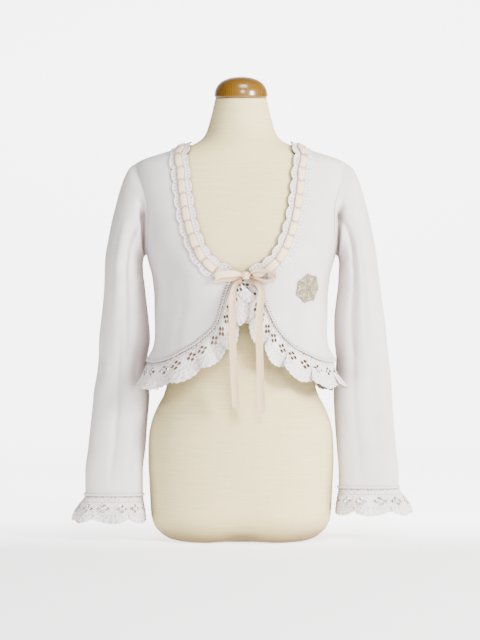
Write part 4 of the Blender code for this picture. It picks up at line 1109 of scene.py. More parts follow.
def corded(name, lines, thickness, finish_name, sides=8):
    """One thread along each line of points, in millimetres."""
    points, edges = [], []
    for line in lines:
        first = len(points)
        points += list(line)
        edges += [(first + i, first + i + 1) for i in range(len(line) - 1)]
    values = {"Thickness": thickness * MM, "Sides": sides}
    mesh = new_mesh(name + "_lines", points, edges, [])
    return grown(name, mesh, "Thread along edges", values, finish_name)


def settle(piece, slot, *nodes):
    """Gives a piece its body and hides the solids that it stands for. Its slot is not used."""
    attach(piece, BODY)
    if nodes:
        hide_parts(*nodes)
    return piece


# The dress form.


def form_surface(turn, height):
    """The form's skin. A groove parts the thighs near the base, and the neck's top leans."""
    points = torso(turn, height)
    groove = bell(height, THIGH_GROOVE["tall"]) * THIGH_GROOVE["deep"]
    near = bell((turn + 90) % 180 - 90, THIGH_GROOVE["wide"])
    points[..., 1] *= 1 - near * groove
    points[..., 2] += near * bell(height, THIGH_GROOVE["lifted"]) * THIGH_GROOVE["lift"]
    share = fade(points[..., 2], NECK_LEAN_FROM, TORSO[-1].height)
    points[..., 2] += share * math.tan(math.radians(NECK_LEAN)) * points[..., 1]
    return points


def capped(name, rings, finish_name):
    """A closed round body from rings of points, low to high, with both ends shut."""
    rows, count = rings.shape[:2]
    points = np.concatenate([rings.reshape(-1, 3), [rings[0].mean(0), rings[-1].mean(0)]])
    faces = grid_quads(rows, count, closed=True).tolist()
    low, high, last = rows * count, rows * count + 1, (rows - 1) * count
    for i in range(count):
        after = (i + 1) % count
        faces += [(low, after, i), (high, last + i, last + after)]
    return new_piece(name, new_mesh(name, points, [], faces), finish_name)


def make_form(sizes):
    turns = np.linspace(0, 360, sizes.form_sides, endpoint=False)
    top = TORSO[-1].height
    upper = np.arange(FORM_RINGS[-1] + FORM_STEP, top, FORM_STEP)
    rings = form_surface(*np.meshgrid(turns, np.concatenate([FORM_RINGS, upper, [top]])))
    foot = torso(turns, 0.0) * BASE_FLAT
    form = capped("form_body", np.concatenate([foot[None], rings]), "slubbed_linen")
    settle(form, "linen", "dress_form")


def make_cap(sizes):
    """The turned wooden cap, on the leaning top of the neck."""
    top, lean = TORSO[-1], math.radians(NECK_LEAN)
    half, back = (top.front + top.back) / 2, (top.back - top.front) / 2
    middle = np.array([0, back, top.height + math.tan(lean) * back])
    ahead = np.array([0, -math.cos(lean), -math.sin(lean)])
    up = np.array([0, -math.sin(lean), math.cos(lean)])
    profile = path([(ring.share * half, ring.rise) for ring in CAP_PROFILE])
    at = profile(np.linspace(0, 1, sizes.cap_rings))
    angle = np.linspace(0, 2 * math.pi, sizes.form_sides, endpoint=False)[:, None]
    reach = np.sin(angle) * np.array([top.width, 0, 0]) + np.cos(angle) * ahead * half
    rings = middle + reach[None] * (at[:, 0] / half)[:, None, None] + up * at[:, 1][:, None, None]
    settle(capped("form_cap", rings, "varnished_wood"), "wood", "neck_cap")


# The knit.


def knit_panel(name, turn, height, quads, sizes, centre=0, weld=False):
    """A wall of the knit. The flat cut for its wales runs across from the centre, and up."""
    outer = on_body(turn, height, sizes.knit_thickness / MM, fine=1.0)[0]
    inner = on_body(turn, height, 0.0, fine=1.0)[0]
    reach = np.linalg.norm(torso(90.0, GIRTH_AT, 1.0)[:2])
    flat = np.radians(turn - centre) * reach, height
    return add_shell(name, outer, inner, quads, "fine_jersey", flat, weld=weld)


def make_fronts(sizes):
    rows, cols = sizes.knit_rows, sizes.knit_columns
    for side, sign in SIDES.items():
        turn, height = front_panel(side, rows, cols)
        quads = grid_quads(rows, cols)
        piece = knit_panel("knit_front_" + side, sign * turn, height, quads, sizes)
        settle(piece, "knit", "front_" + side)


def make_back(sizes):
    """The back, as two halves welded down its middle."""
    rows, cols = sizes.knit_rows, sizes.knit_columns
    turn, height = back_panel(rows, cols)
    turn, height = np.stack([turn, 360 - turn]), np.stack([height, height])
    quads = grid_quads(rows, cols)
    quads = np.concatenate([quads, quads[:, ::-1] + rows * cols])
    piece = knit_panel("knit_back", turn, height, quads, sizes, 180, weld=True)
    settle(piece, "knit", "back")


def ring_angle(share):
    """The angle at a share of the way round a sleeve, from the body over the front."""
    return math.pi - 2 * math.pi * share


def make_sleeves(sizes):
    knit = sizes.knit_thickness / MM
    rows, cols = sizes.sleeve_rows, sizes.sleeve_columns
    for side in SIDES:
        last = sleeve_tables(side)[3]
        # Closer rings near the armhole, where the fan turns.
        number = last * np.linspace(0, 1, rows) ** 1.1
        number, share = np.meshgrid(number, np.arange(cols) / cols, indexing="ij")
        angle = ring_angle(share)
        outer = sleeve_surface(side, number, angle, knit)
        out = normals_of(np.concatenate([outer[:, -1:], outer, outer[:, :1]], axis=1))[:, 1:-1]
        out = out * np.sign(dot(out, outer - outer.mean(axis=1, keepdims=True)))[..., None]
        inner = outer - out * knit
        inner[0] = sleeve_rim(side, angle[0], knit)[1]
        flat = share * SLEEVE_CUT["round"], -number / last * SLEEVE_CUT["long"]
        quads = grid_quads(rows, cols, closed=True)
        piece = add_shell("knit_sleeve_" + side, outer, inner, quads, "fine_jersey", flat)
        halves = ["sleeve_" + side + "_" + half for half in ("front", "back")]
        settle(piece, "knit", *(half + part for half in halves for part in ("_upper", "_lower")))


# The lace.


def lace_grid(clusters, depth, lead=0.0, tuck=2.6):
    """A lace's flat grid: along and down in millimetres, faces, relief and two sets of painted
    shade.

    The lower edge runs in scallops with small picots. Four round holes lie in each
    cluster, and the grid's points are drawn onto their rims.
    """
    length = clusters * CLUSTER
    cols, rows = int((length + lead) / LACE_PITCH) + 1, int(depth / LACE_PITCH) + 1
    s, share = np.meshgrid(np.linspace(-lead, length, cols), np.linspace(0, 1, rows))
    swell = np.abs(np.sin(math.pi * s / (2 * CLUSTER))) ** 0.9
    picot = PICOT["out"] * np.abs(np.sin(math.pi * s / PICOT["pitch"]))
    bottom = depth - SCALLOP * (1 - swell) - PICOT["out"] + picot
    v = share * bottom
    across = (s % CLUSTER) - CLUSTER / 2
    quads = grid_quads(rows, cols)
    middle = (s.ravel()[quads].mean(1), v.ravel()[quads].mean(1))
    kept = np.ones(len(quads), bool)
    gap = np.full(s.shape, 99.0)
    for off, up in ((-HOLE_ACROSS, 0), (HOLE_ACROSS, 0), (0, -HOLE_UP), (0, HOLE_UP)):
        east, south = across - off, v - (HOLE_ROW + up)
        distance = np.hypot(east, south)
        near = (np.abs(distance - HOLE_RADIUS) < 0.6 * LACE_PITCH) & (share > 0) & (share < 1)
        near &= (s > LACE_PITCH / 2 - lead) & (s < length - LACE_PITCH / 2)
        pull = np.where(near, HOLE_RADIUS / np.maximum(distance, 0.2) - 1, 0)
        s, v = s + east * pull, v + south * pull
        gap = np.minimum(gap, distance)
        east, south = (middle[0] % CLUSTER) - CLUSTER / 2 - off, middle[1] - (HOLE_ROW + up)
        kept &= np.hypot(east, south) > HOLE_RADIUS * 0.96
    fan = (s % (2 * CLUSTER)) - CLUSTER
    radius = np.hypot(fan, v - HOLE_ROW)
    ribs = np.cos(np.arctan2(fan, v - HOLE_ROW) * FAN_RIBS)
    in_fan = fade(radius, FAN["from"], FAN["to"])
    rounds = np.cos(radius * 2 * math.pi / FAN["pitch"])
    courses = np.cos(v * 2 * math.pi / COURSE["pitch"])
    courses *= 1 - fade(v, COURSE["from"], COURSE["to"])
    weave = 0.40 * ribs * in_fan + 0.30 * rounds * in_fan + 0.45 * courses
    rims = bell(gap - HOLE_RADIUS - 0.7, 0.8)
    edge = bell((1 - share) * depth - 1.2, 1.5)
    relief = weave + 0.6 * rims + 0.8 * edge
    # Painted shade where the weave dips between its threads, but not on the holes' rims or the
    # edge.
    painted_shade = 0.55 * fade(-weave, 0.2, 0.8) * (1 - rims) * (1 - edge)
    # A line of small eyelets runs between the wide holes and the fans.
    eyelets = (s % (CLUSTER / 5)) - CLUSTER / 10
    lines = np.minimum(np.abs(v - EYELET["above"]), np.abs(v - HOLE_ROW - EYELET["below"]))
    eyelet = bell(np.hypot(eyelets, lines), EYELET["wide"])
    relief -= EYELET["deep"] * eyelet
    # Painted shade: darker in the eyelets, where it is tucked under the knit, down the fold
    # between scallops and round the holes; the inner points get a wider ring of it round each hole.
    turn = (s / CLUSTER + 1) % 2 - 1
    painted_shade += 0.95 * eyelet + 0.75 * (1 - fade(v, tuck - 2.0, tuck))
    painted_shade += 0.7 * share * bell(turn, 0.09) + 0.85 * bell(gap - HOLE_RADIUS, 0.6)
    painted_shade = np.clip(painted_shade, 0, 1)
    inner_painted_shade = np.clip(painted_shade + bell(gap - HOLE_RADIUS, 2.2), 0, 1)
    return s, v, quads[kept], relief, painted_shade, inner_painted_shade


def shingle(s):
    """Steps up where one scallop meets the next, and slopes back down along each."""
    turn = (s / CLUSTER + 1) % 2 - 1
    return np.tanh(turn / 0.12) - turn


def hem_place(low, lean_sign, layer, length, start):
    """Puts flat lace below a hem, as the solids do. Low is the hem, as turn and height."""
    hang = columns(FRONT_HANG if lean_sign else BACK_HANG)
    along = np.linspace(0, 1, len(low))
    curve_turn = Curve(along, [spot[0] for spot in low])
    curve_height = Curve(along, [spot[1] for spot in low])

    def place(s, v, out):
        t = start + (1 - start) * s / length
        lean = np.radians(hang["lean"](t))
        flare = hang["lift"](t)
        share = v / HEM_DEPTH
        calm = fade(t, 0.0, 0.1) * (1 - fade(t, 0.93, 1.0))
        t = t - calm * GATHER * share**1.2 * shingle(s) / length
        fall = (v + SEAM_GAP) * (1 - LACE_DROOP * share * flare)
        heading = (-lean_sign * np.sin(lean), -np.cos(lean))
        turn, height = walk(curve_turn(t), curve_height(t), heading, fall)
        wave = HEM_WAVE * share**1.3 * np.sin(math.pi * s / CLUSTER)
        wave = wave * (-0.75 if lean_sign < 0 else 1.0)
        if lean_sign:
            wave = wave * (0.35 + 0.65 * fade(t, 0.1, 0.5)) * (1 - 0.8 * fade(t, 0.85, 1.0))
        else:
            wave = wave * (1 - 0.8 * fade(np.abs(t - 0.5), 0.35, 0.5))
        lift = flare * share**1.4 + wave + layer * fade(share, 0.02, 0.3)
        return on_body(turn, height, lift + out)[0]

    return place


def hem_low(side):
    """The hem's spots at the solids' own columns."""
    across = np.linspace(0, 1, FRONT_COLUMNS + 1)
    turn, height = CUTAWAY_AT[side](across)
    edge = outer_edge(np.zeros(1), -ARMHOLE_FRONT)
    turn[-1], height[-1] = edge[0][0], edge[1][0]
    return turn, height


def lace_wall(name, grid, place, base, lace, weld=False):
    s, v, quads, relief, painted_shade, inner_painted_shade = grid
    outer = place(s, v, base + lace + relief)
    inner = place(s, v, base + np.zeros_like(s))
    return add_shell(name, outer, inner, quads, "cotton_crochet", (s, v), painted_shade, inner_painted_shade, weld)


def make_hem_laces(sizes):
    knit, lace = sizes.knit_thickness / MM, sizes.lace_thickness / MM
    base, length = (knit - lace) / 2, CLUSTERS["front"] * CLUSTER
    for side, sign in SIDES.items():
        turn, height = hem_low(side)
        grid = lace_grid(CLUSTERS["front"], HEM_DEPTH, LACE_LEAD, LACE_TUCK)
        low = list(zip(sign * turn, height))
        place = hem_place(low, sign, TOP_LAYER[side], length, LACE_START)
        piece = lace_wall("crochet_hem_" + side, grid, place, base, lace)
        settle(piece, "lace", "hem_lace_" + side)
    turn = np.linspace(90, 270, 2 * BACK_COLUMNS + 1)
    gap = seam_turn(SIDE_HEM)
    turn[0], turn[-1] = 90 + gap, 270 - gap
    low = [(spot, SIDE_HEM) for spot in turn]
    place = hem_place(low, 0, 0.0, CLUSTERS["back"] * CLUSTER, 0.0)
    grid = lace_grid(CLUSTERS["back"], HEM_DEPTH, 0.0, LACE_TUCK)
    piece = lace_wall("crochet_hem_back", grid, place, base, lace)
    settle(piece, "lace", "hem_lace_back")


def cuff_place(side, length, knit, lace):
    """Puts flat lace round a cuff, below the sleeve's last ring, as the solids do."""
    last = sleeve_tables(side)[3]
    middle = sleeve_surface(side, np.full(24, float(last)), ring_angle(np.arange(24) / 24), knit)
    middle = middle.mean(0)

    def place(s, v, out):
        share = v / CUFF_DEPTH
        s = s - CUFF_GATHER * share * shingle(s)
        ring = sleeve_surface(side, np.full_like(s, float(last)), ring_angle(s / length), knit)
        reach = ring - middle
        reach[..., 2] = 0
        wide = np.linalg.norm(reach, axis=-1)
        reach = reach * ((wide - (knit - lace) / 2 - lace + out) / wide)[..., None]
        toward = -SIDES[side] * reach[..., 0] / np.maximum(np.linalg.norm(reach, axis=-1), 1e-6)
        opened = np.sin(math.pi / 2 * np.minimum(share / 0.85, 1.15)) ** 1.1
        wing = np.where(toward < 0, CUFF_FLARE["outside"], CUFF_FLARE["body"])
        spread = reach * np.stack(
            [1 + wing * opened, 1 + CUFF_FLARE["front"] * opened, np.zeros_like(s)], -1
        )
        outward = unit(reach * np.array([1 / 2.2, 2.2, 0.0]))
        wave = CUFF_WAVE * share**1.3 * np.sin(math.pi * s / CLUSTER)
        wave = wave * (1 - 0.6 * fade(toward, 0.6, 0.8))
        fall = SEAM_GAP + v * (1 - CUFF_FLARE["droop"] * share)
        low = np.stack([0 * s + middle[0], 0 * s + middle[1], ring[..., 2] - fall], -1)
        return low + spread + outward * wave[..., None]

    return place


def make_cuff_laces(sizes):
    knit, lace = sizes.knit_thickness / MM, sizes.lace_thickness / MM
    for side in SIDES:
        place = cuff_place(side, CLUSTERS["cuff"] * CLUSTER, knit, lace)
        grid = lace_grid(CLUSTERS["cuff"], CUFF_DEPTH)
        piece = lace_wall("crochet_cuff_" + side, grid, place, 0.0, lace, weld=True)
        parts = ("front_inner", "front_outer", "back")
        settle(piece, "lace", *("cuff_lace_" + side + "_" + part for part in parts))


# The neck trim and its ribbon.


def neck_path():
    """Curves of turn and height along the whole neckline by length, and that length."""
    front_turn, front_height = NECK_AT(np.linspace(0, 1, 17))
    back_turn, back_height = BACK_NECK_AT(np.linspace(0, 1, 9)[1:])
    turn = np.concatenate([front_turn, back_turn])
    height = np.concatenate([front_height, back_height])
    turn = -np.concatenate([turn, 360 - turn[-2::-1]])
    height = np.concatenate([height, height[-2::-1]])
    along = lengths(torso(turn, height, 1.0))
    return Curve(along, turn), Curve(along, height), along[-1]


NECK_TURN, NECK_HEIGHT, NECK_LENGTH = neck_path()
TRIM_PITCH = NECK_LENGTH / TRIM_REPEATS


def trim_place(s, v, out):
    """Puts a flat strip along the neckline. V is across it, towards the neck."""
    turn, height = NECK_TURN(s), NECK_HEIGHT(s)
    ends = np.minimum(s + 1, NECK_LENGTH), np.maximum(s - 1, 0)
    ahead, behind = (torso(NECK_TURN(end), NECK_HEIGHT(end), 1.0) for end in ends)
    outward = on_body(turn, height)[1]
    across = unit(np.cross(unit(ahead - behind), outward))
    side = unit(torso(turn + 0.5, height, 1.0) - torso(turn - 0.5, height, 1.0))
    up = unit(np.cross(outward, side))
    up = up * np.where(up[..., 2] < 0, -1.0, 1.0)[..., None]
    heading = dot(across, side), dot(across, up)
    return on_body(*walk(turn, height, heading, v - TRIM_OFF_EDGE), out)[0]


def bar_sag(share):
    """How far the thread bars over the ribbon bow downwards, in millimetres."""
    return 1.5 * (1 - share**2)


def trim_grid(rows, steps, end=0):
    """The strip's places along, and across from -1 to 1."""
    along = np.linspace(end, NECK_LENGTH - end, TRIM_REPEATS * steps + 1)
    return np.meshgrid(along, np.linspace(-1, 1, rows))


def make_neck_lace(sizes):
    """Beading lace: solid bands beside the ribbon, eyelets, and scallops on both edges."""
    s, share = trim_grid(33, 16)
    half = TRIM_HALF + TRIM_SCALLOP * (np.abs(np.sin(math.pi * s / TRIM_PITCH)) ** 0.8 - 0.6)
    v = share * half
    reach = np.abs(v)
    rib = TRIM_PITCH / 4
    eyelet = bell(np.hypot((s % rib) - rib / 2, 0.5 * (reach - half + 4.5)), 0.9)
    ribs = np.cos(s * 2 * math.pi / rib) * fade(reach, 7.6, 8.6)
    ribs = ribs * (1 - fade(reach - half, -3.0, -1.6))
    relief = 0.5 * bell(reach - half + 1.0, 0.9)
    relief += 0.45 * bell(reach - THREADED_HALF - 1.6, 0.8) + 0.35 * ribs - 0.5 * eyelet
    # Painted shade in the eyelets, between the ribs and along the ribbon's edges.
    painted_shade = 0.65 * eyelet + 0.35 * fade(-ribs, 0.4, 1.0) + 0.7 * bell(reach - THREADED_HALF, 0.8)
    painted_shade = np.clip(painted_shade, 0, 1)
    base = sizes.knit_thickness / MM + LAY_GAP
    outer = trim_place(s, v, base + sizes.lace_thickness / MM + relief)
    inner = trim_place(s, v, base + np.zeros_like(s))
    quads = grid_quads(*s.shape)
    piece = add_shell("neck_trim", outer, inner, quads, "cotton_crochet", (s, v), painted_shade)
    settle(piece, "lace", "neck_lace")


def ribbon_lift(s):
    """How far the threaded ribbon puffs up between the bars that hold it down."""
    return 0.1 + 1.3 * PUFF * np.abs(np.sin(math.pi * s / TRIM_PITCH)) ** 0.55


def make_neck_ribbon(sizes):
    """The ribbon through the neck trim, and the thread bars that cross it."""
    ribbon = sizes.ribbon_thickness / MM
    base = sizes.knit_thickness / MM + LAY_GAP + sizes.lace_thickness / MM + SEAM_GAP
    s, share = trim_grid(13, 22, end=2)
    sagged = s - bar_sag(share)
    swell = np.abs(np.sin(math.pi * sagged / TRIM_PITCH))
    v = share * THREADED_HALF * (0.80 + 0.24 * swell**0.5)
    lift = base + ribbon_lift(sagged) * (1 - 0.6 * share**4)
    lift = lift + 0.12 * np.sin(v * 2.1 + s * 0.8) * (1 - share**2)
    # Painted shade where the bars pinch the ribbon down, and towards its edges.
    painted_shade = np.clip(1.1 * (1 - fade(swell, 0.04, 0.34)) + 0.4 * share**4, 0, 1)
    outer, inner = trim_place(s, v, lift + ribbon), trim_place(s, v, lift)
    quads = grid_quads(*s.shape)
    piece = add_shell("threaded_ribbon", outer, inner, quads, "ribbon_satin", (s, v), painted_shade)
    settle(piece, "satin", "neck_ribbon")
    reach = THREADED_HALF + 2.2
    across = np.linspace(-reach, reach, 13)
    arch = (ribbon + 0.45) * (1 - (across / reach) ** 6)
    starts = TRIM_PITCH * np.arange(1, TRIM_REPEATS)
    lines = [trim_place(at + bar_sag(across / reach), across, base + arch) for at in starts]
    settle(corded("ribbon_bars", lines, 0.8, "cotton_crochet"), "lace")


# The bow.


def front_face(height):
    """How far forward the knit's front lies at the centre."""
    return -torso(0.0, np.maximum(height, HANG_FROM), 1.0)[..., 1] + KNIT


def ribbon_strip(name, spots, across_at, half_at, sizes, node, twist=None, tied=0):
    """A ribbon through its spots, with a slight crown across it, tied in at one end or both."""
    course = path([(spot.x, -front_face(spot.z) - spot.off, spot.z) for spot in spots])
    rows, cols = sizes.bow_steps, 11
    t, share = np.linspace(0, 1, rows), np.linspace(-1, 1, cols)
    centre = course(t)
    ahead = unit(course(np.clip(t + 0.015, 0, 1)) - course(np.clip(t - 0.015, 0, 1)))
    across = unit(across_at(t, ahead))
    face = unit(np.cross(ahead, across))[:, None]
    half = BOW_WIDTH / 2 * half_at(t)
    crown = (1 - share**2)[None, :] * (0.5 if twist is None else twist(t)[:, None])
    line = centre[:, None] + across[:, None] * (share[None, :] * half[:, None])[..., None]
    line = line + face * crown[..., None]
    wall = face * (sizes.ribbon_thickness / MM) / 2
    flat = np.meshgrid(lengths(centre), share * BOW_WIDTH / 2, indexing="ij")
    # It gets painted shade where it is drawn into the knot, towards its edges, and over its back.
    painted_shade = (0.7 * bell(t, 0.07) + (0.7 * bell(1 - t, 0.09) if tied else 0.0))[:, None]
    painted_shade, inner_painted_shade = painted_shade + 0.3 * share**6, painted_shade + 0.45 + 0 * share
    quads = grid_quads(rows, cols)
    piece = add_shell(name, line + wall, line - wall, quads, "ribbon_satin", flat, painted_shade, inner_painted_shade)
    settle(piece, "satin", node)


def make_tails(sizes):
    """The bow's two free ends."""
    for side, length in (("left", 0.228), ("right", 0.218)):
        ribbon_strip(
            "ribbon_end_" + side,
            TAILS[side],
            lambda t, ahead: np.cross(ahead, np.array([0.0, -1.0, 0.0])),
            lambda t: 0.55 + 0.45 * fade(t, 0.0, 0.2),
            sizes,
            "bow_tail_" + side,
            lambda t: 0.5 + 0.5 * np.sin(t * 9.0),
        )


def make_loops(sizes):
    """The bow's two loops."""
    for side, length in (("left", 0.112), ("right", 0.100)):
        tilt = np.array([0.0, *LOOP_TILT[side]])

        def across_at(t, ahead, tilt=tilt, sign=SIDES[side]):
            return sign * (tilt - ahead * dot(ahead, tilt)[:, None])

        ribbon_strip(
            "ribbon_loop_" + side,
            LOOPS[side],
            across_at,
            lambda t: 0.5 + 0.5 * fade(np.minimum(t, 1 - t), 0.0, 0.2),
            sizes,
            "bow_loop_" + side,
            tied=True,
        )


def make_knot(sizes):
    """The knot, a soft wrap with folds running over it."""
    rings, sides = 45, 56
    rise = np.linspace(0.06, math.pi - 0.06, rings)
    turn = np.linspace(0, 2 * math.pi, sides, endpoint=False)
    rise, turn = np.meshgrid(rise, turn, indexing="ij")
    reach = np.sin(rise) ** 0.6
    slant = reach * np.cos(turn) * 0.75 + np.cos(rise) * 1.15
    groove = (0.5 + 0.5 * np.cos(2 * math.pi * slant)) ** 4
    fold = 1.08 - 0.20 * groove
    x = 1.25 * KNOT["half_x"] * reach * np.cos(turn) * fold
    y = KNOT["half_y"] * reach * np.sin(turn) * fold
    z = -KNOT["half_z"] * np.cos(rise)
    centre = np.array([KNOT["x"], -front_face(KNOT["z"]) - KNOT["off"], KNOT["z"]])
    knot = capped("ribbon_knot", centre + np.stack([x, y, z], -1), "ribbon_satin")
    # Painted shade in the grooves between its folds.
    add_layer(knot.data, "painted_shade", np.concatenate([(0.9 * groove).ravel(), [0.0, 0.0]]))
    settle(knot, "satin", "bow_knot")


# The embroidery.


def spray_place(x, y, out):
    """Points of the chest, from flat places round the flower's heart."""
    turn, height = np.full_like(x, SPRAY["turn"]), np.full_like(x, SPRAY["height"])
    return on_body(*walk(turn, height, (x, y), 1.0), out)


def spray_stitches(name, x, y, heading, size, seed, out):
    """Stitches at flat places, each lying along its own heading."""
    points, outward = spray_place(x, y, out)
    ahead, _ = spray_place(x + np.cos(heading), y + np.sin(heading), out)
    made = stitched(name, points, unit(ahead - points), outward, size, "gold_thread", seed)
    settle(made, "gold")


def polar(reach, angle):
    return reach * np.cos(angle), reach * np.sin(angle)


def petal_rim(angle, inset):
    """How far out the flower's edge lies, in lobes."""
    return SPRAY["petal_to"] - inset + 2.4 * np.cos(PETALS * angle)


def make_embroidery(sizes):
    """A generic flower of seven petals in gold thread, on a stitched ground, with a heart."""
    angle = np.linspace(0, 2 * math.pi, SPRAY_COUNTS["sides"], endpoint=False)
    share = np.linspace(0.02, 1, SPRAY_COUNTS["rings"])
    x, y = (part.ravel() for part in polar(petal_rim(angle, 2.0)[None] * share[:, None], angle))
    base = KNIT + LAY_GAP
    outer, inner = spray_place(x, y, base + 0.5)[0], spray_place(x, y, base)[0]
    quads = grid_quads(len(share), len(angle), closed=True)
    ground = add_shell("embroidery_ground", outer, inner, quads, "gold_ground", (x, y))
    settle(ground, "gold", "chest_embroidery")
    ends = SPRAY["petal_from"], SPRAY["petal_to"] - 1.5
    rows = np.linspace(*ends, SPRAY_COUNTS["petal"])
    petals = []
    for aim in 2 * math.pi * np.arange(PETALS) / PETALS:
        for reach in rows:
            part = (reach - rows[0]) / (rows[-1] - rows[0])
            off = 0.52 * PETAL_HALF * math.sin(math.pi * (0.12 + 0.80 * part)) ** 0.8
            for side in (-1, 1):
                x = reach * math.cos(aim) - side * off * math.sin(aim)
                y = reach * math.sin(aim) + side * off * math.cos(aim)
                petals.append((x, y, aim + math.pi / 2 - side * 0.5))
    spray_stitches("petal_stitches", *np.array(petals).T, PETAL_STITCH, 3, 3.5)
    fill, count = np.random.default_rng(11), SPRAY_COUNTS["ground"]
    reach = np.sqrt(fill.uniform(0.04, 1.0, count)) * (SPRAY["petal_to"] - 1.0)
    places = polar(reach, fill.uniform(0, 2 * math.pi, count))
    lay = fill.uniform(0, math.pi, count)
    spray_stitches("ground_stitches", *places, lay, FILL_STITCH, 5, 3.1)
    knots = np.arange(SPRAY_COUNTS["heart"])
    reach, around = SPRAY["heart"] * np.sqrt((knots + 0.5) / len(knots)), knots * GOLDEN_ANGLE
    spray_stitches("heart_knots", *polar(reach, around), around, KNOT_STITCH, 9, 3.6)
    edge = np.linspace(0, 2 * math.pi, SPRAY_COUNTS["edge"], endpoint=False)
    places = polar(petal_rim(edge, 1.6), edge)
    spray_stitches("edge_stitches", *places, edge + math.pi / 2, EDGE_STITCH, 13, 3.4)


# Seams and edges.


def evenly(points, outward, length):
    """A line's picot places at even spaces, and the directions along it and out of it."""
    along = lengths(points)
    at = np.linspace(0, along[-1], int(length / PICOT["knit_pitch"]))
    spots = sampled(points, along, at)
    return spots, unit(np.gradient(spots, axis=0)), unit(sampled(outward, along, at))


def picots(name, line, off, seed=7):
    """The knit's small picots in a row."""
    spots, along, out = line
    made = stitched(name, spots + out * off, along, out, KNIT_PICOT, "fine_jersey", seed)
    settle(made, "knit")


def loops(spots, out, length):
    """A line of small yarn loops below an edge, laid over what hangs from it."""
    index, count = np.arange(len(spots)), int(length / PICOT["knit_pitch"])
    at = np.linspace(0, len(spots) - 1, count * 8 + 1)
    line, away = sampled(spots, index, at), unit(sampled(out, index, at))
    down = np.cross(away, unit(np.gradient(line, axis=0)))
    down = unit(down * -np.sign(down[:, 2:]))
    swing = np.abs(np.sin(math.pi * np.arange(len(at)) / 8)) ** 0.8
    return line + down * (4.6 * swing - 0.4)[:, None] + away * (1.2 + 1.6 * swing)[:, None]


def make_hem_edges(sizes):
    """Small picots and yarn loops along the knit's hems."""
    for side, sign in SIDES.items():
        turn, height = CUTAWAY_AT[side](np.linspace(0.01, 0.995, EDGE_SAMPLES))
        line = evenly(*on_body(sign * turn, height, KNIT, fine=1.0), EDGES["front"])
        picots("hem_picots_" + side, line, 0.5, 17)
        yarn = loops(line[0], line[2], EDGES["front"])
        settle(corded("hem_loops_" + side, [yarn], LOOP_YARN, "fine_jersey", 6), "knit")
    turn = np.linspace(90.6, 269.4, EDGE_SAMPLES)
    edge = on_body(turn, np.full_like(turn, SIDE_HEM), sizes.knit_thickness / MM, fine=1.0)
    picots("hem_picots_back", evenly(*edge, EDGES["back"]), 0.3)


def make_sleeve_edges(sizes):
    """Each cuff's picots and rolled edge, and the thread of the armhole's seam."""
    knit = sizes.knit_thickness / MM
    for side in SIDES:
        angle = ring_angle(np.linspace(0, 1, EDGE_SAMPLES))
        number = np.full_like(angle, float(sleeve_tables(side)[3]) - 0.02)
        ring = sleeve_surface(side, number, angle, knit)
        out = (ring - ring.mean(0)) * np.array([1.0, 1.0, 0.0])
        line = evenly(ring, unit(out), EDGES["cuff"])
        picots("cuff_picots_" + side, line, 0.3, 23)
        roll = line[0] + line[2] * 0.9 + np.array([0.0, 0.0, 1.4])
        settle(corded("cuff_roll_" + side, [roll], CUFF_ROLL, "fine_jersey"), "knit")
        rim = sleeve_rim(side, ring_angle(np.linspace(0, 1, 161)), knit)[0]
        settle(corded("armhole_seam_" + side, [rim], SEAM_THREAD, "seam_thread", 6), "knit")


def make_body_seams(sizes):
    """The threads of the shoulder and side seams."""
    out, lines = sizes.knit_thickness / MM - 0.2, []
    for sign in (-1, 1):
        for low, high, count in (
            (SHOULDER_TIP, SHOULDER_NECK, 40),
            (SIDE_HEM + 1, UNDERARM - 6, 60),
        ):
            height = np.linspace(low, high, count)
            lines.append(on_body(np.full(count, sign * 90.0), height, out, fine=1.0)[0])
    settle(corded("body_seams", lines, SEAM_THREAD, "seam_thread", 6), "knit")


# The stage.


def make_stage(sizes):
    """A pale floor that curves up into a wall, soft lights, and the camera."""
    wide, sweep, back = STAGE["half_width"], STAGE["sweep"], STAGE["back"]
    bend = np.linspace(0, math.pi / 2, 17)
    profile = [(-STAGE["front"], 0.0)]
    profile += [(back + sweep * math.sin(a), sweep * (1 - math.cos(a))) for a in bend]
    profile += [(back + sweep, STAGE["top"])]
    points = [(x, y, z) for y, z in profile for x in (-wide, wide)]
    quads = [(2 * i, 2 * i + 1, 2 * i + 3, 2 * i + 2) for i in range(len(profile) - 1)]
    mesh = bpy.data.meshes.new("paper_sweep")
    mesh.from_pydata(points, [], quads)
    new_piece("paper_sweep", mesh, "stage_paper")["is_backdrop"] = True
    for light in LIGHTS:
        data = bpy.data.lights.new(light.name, "AREA")
        data.shape = "RECTANGLE"
        data.size, data.size_y = light.wide, light.tall
        data.energy = light.watts
        data.color = (1.0, light.green, light.blue)
        lamp = linked(light.name, data)
        lamp.location = (light.x, light.y, light.z)
        aim = Vector((0, 0, light.aim)) - lamp.location
        lamp.rotation_euler = aim.to_track_quat("-Z", "Y").to_euler()
    world = bpy.data.worlds.new("studio")
    world.use_nodes = True
    backdrop = world.node_tree.nodes["Background"]
    backdrop.inputs["Color"].default_value = (1.0, 1.0, 1.0, 1.0)
    backdrop.inputs["Strength"].default_value = sizes.room_light
    bpy.context.scene.world = world
    data = bpy.data.cameras.new("camera")
    data.sensor_fit = "VERTICAL"
    data.sensor_height = CAMERA["sensor"]
    data.lens = CAMERA["lens"]
    data.clip_end = CAMERA["far"]
    camera = linked("camera", data)
    camera.location = (CAMERA["x"], -CAMERA["away"], CAMERA["z"])
    camera.rotation_euler = (math.pi / 2, 0, 0)
    bpy.context.scene.camera = camera


# The settings that a user would change.


def length_property(name, description, default):
    return FloatProperty(name=name, description=description, default=default, unit="LENGTH")


def count_property(name, description, default):
    return IntProperty(name=name, description=description, default=default)


def light_property(name, description, default):
    return FloatProperty(name=name, description=description, default=default)


def colour_property(name, description, default):
    return FloatVectorProperty(
        name=name, description=description, subtype="COLOR", default=default, min=0.0, max=1.0
    )


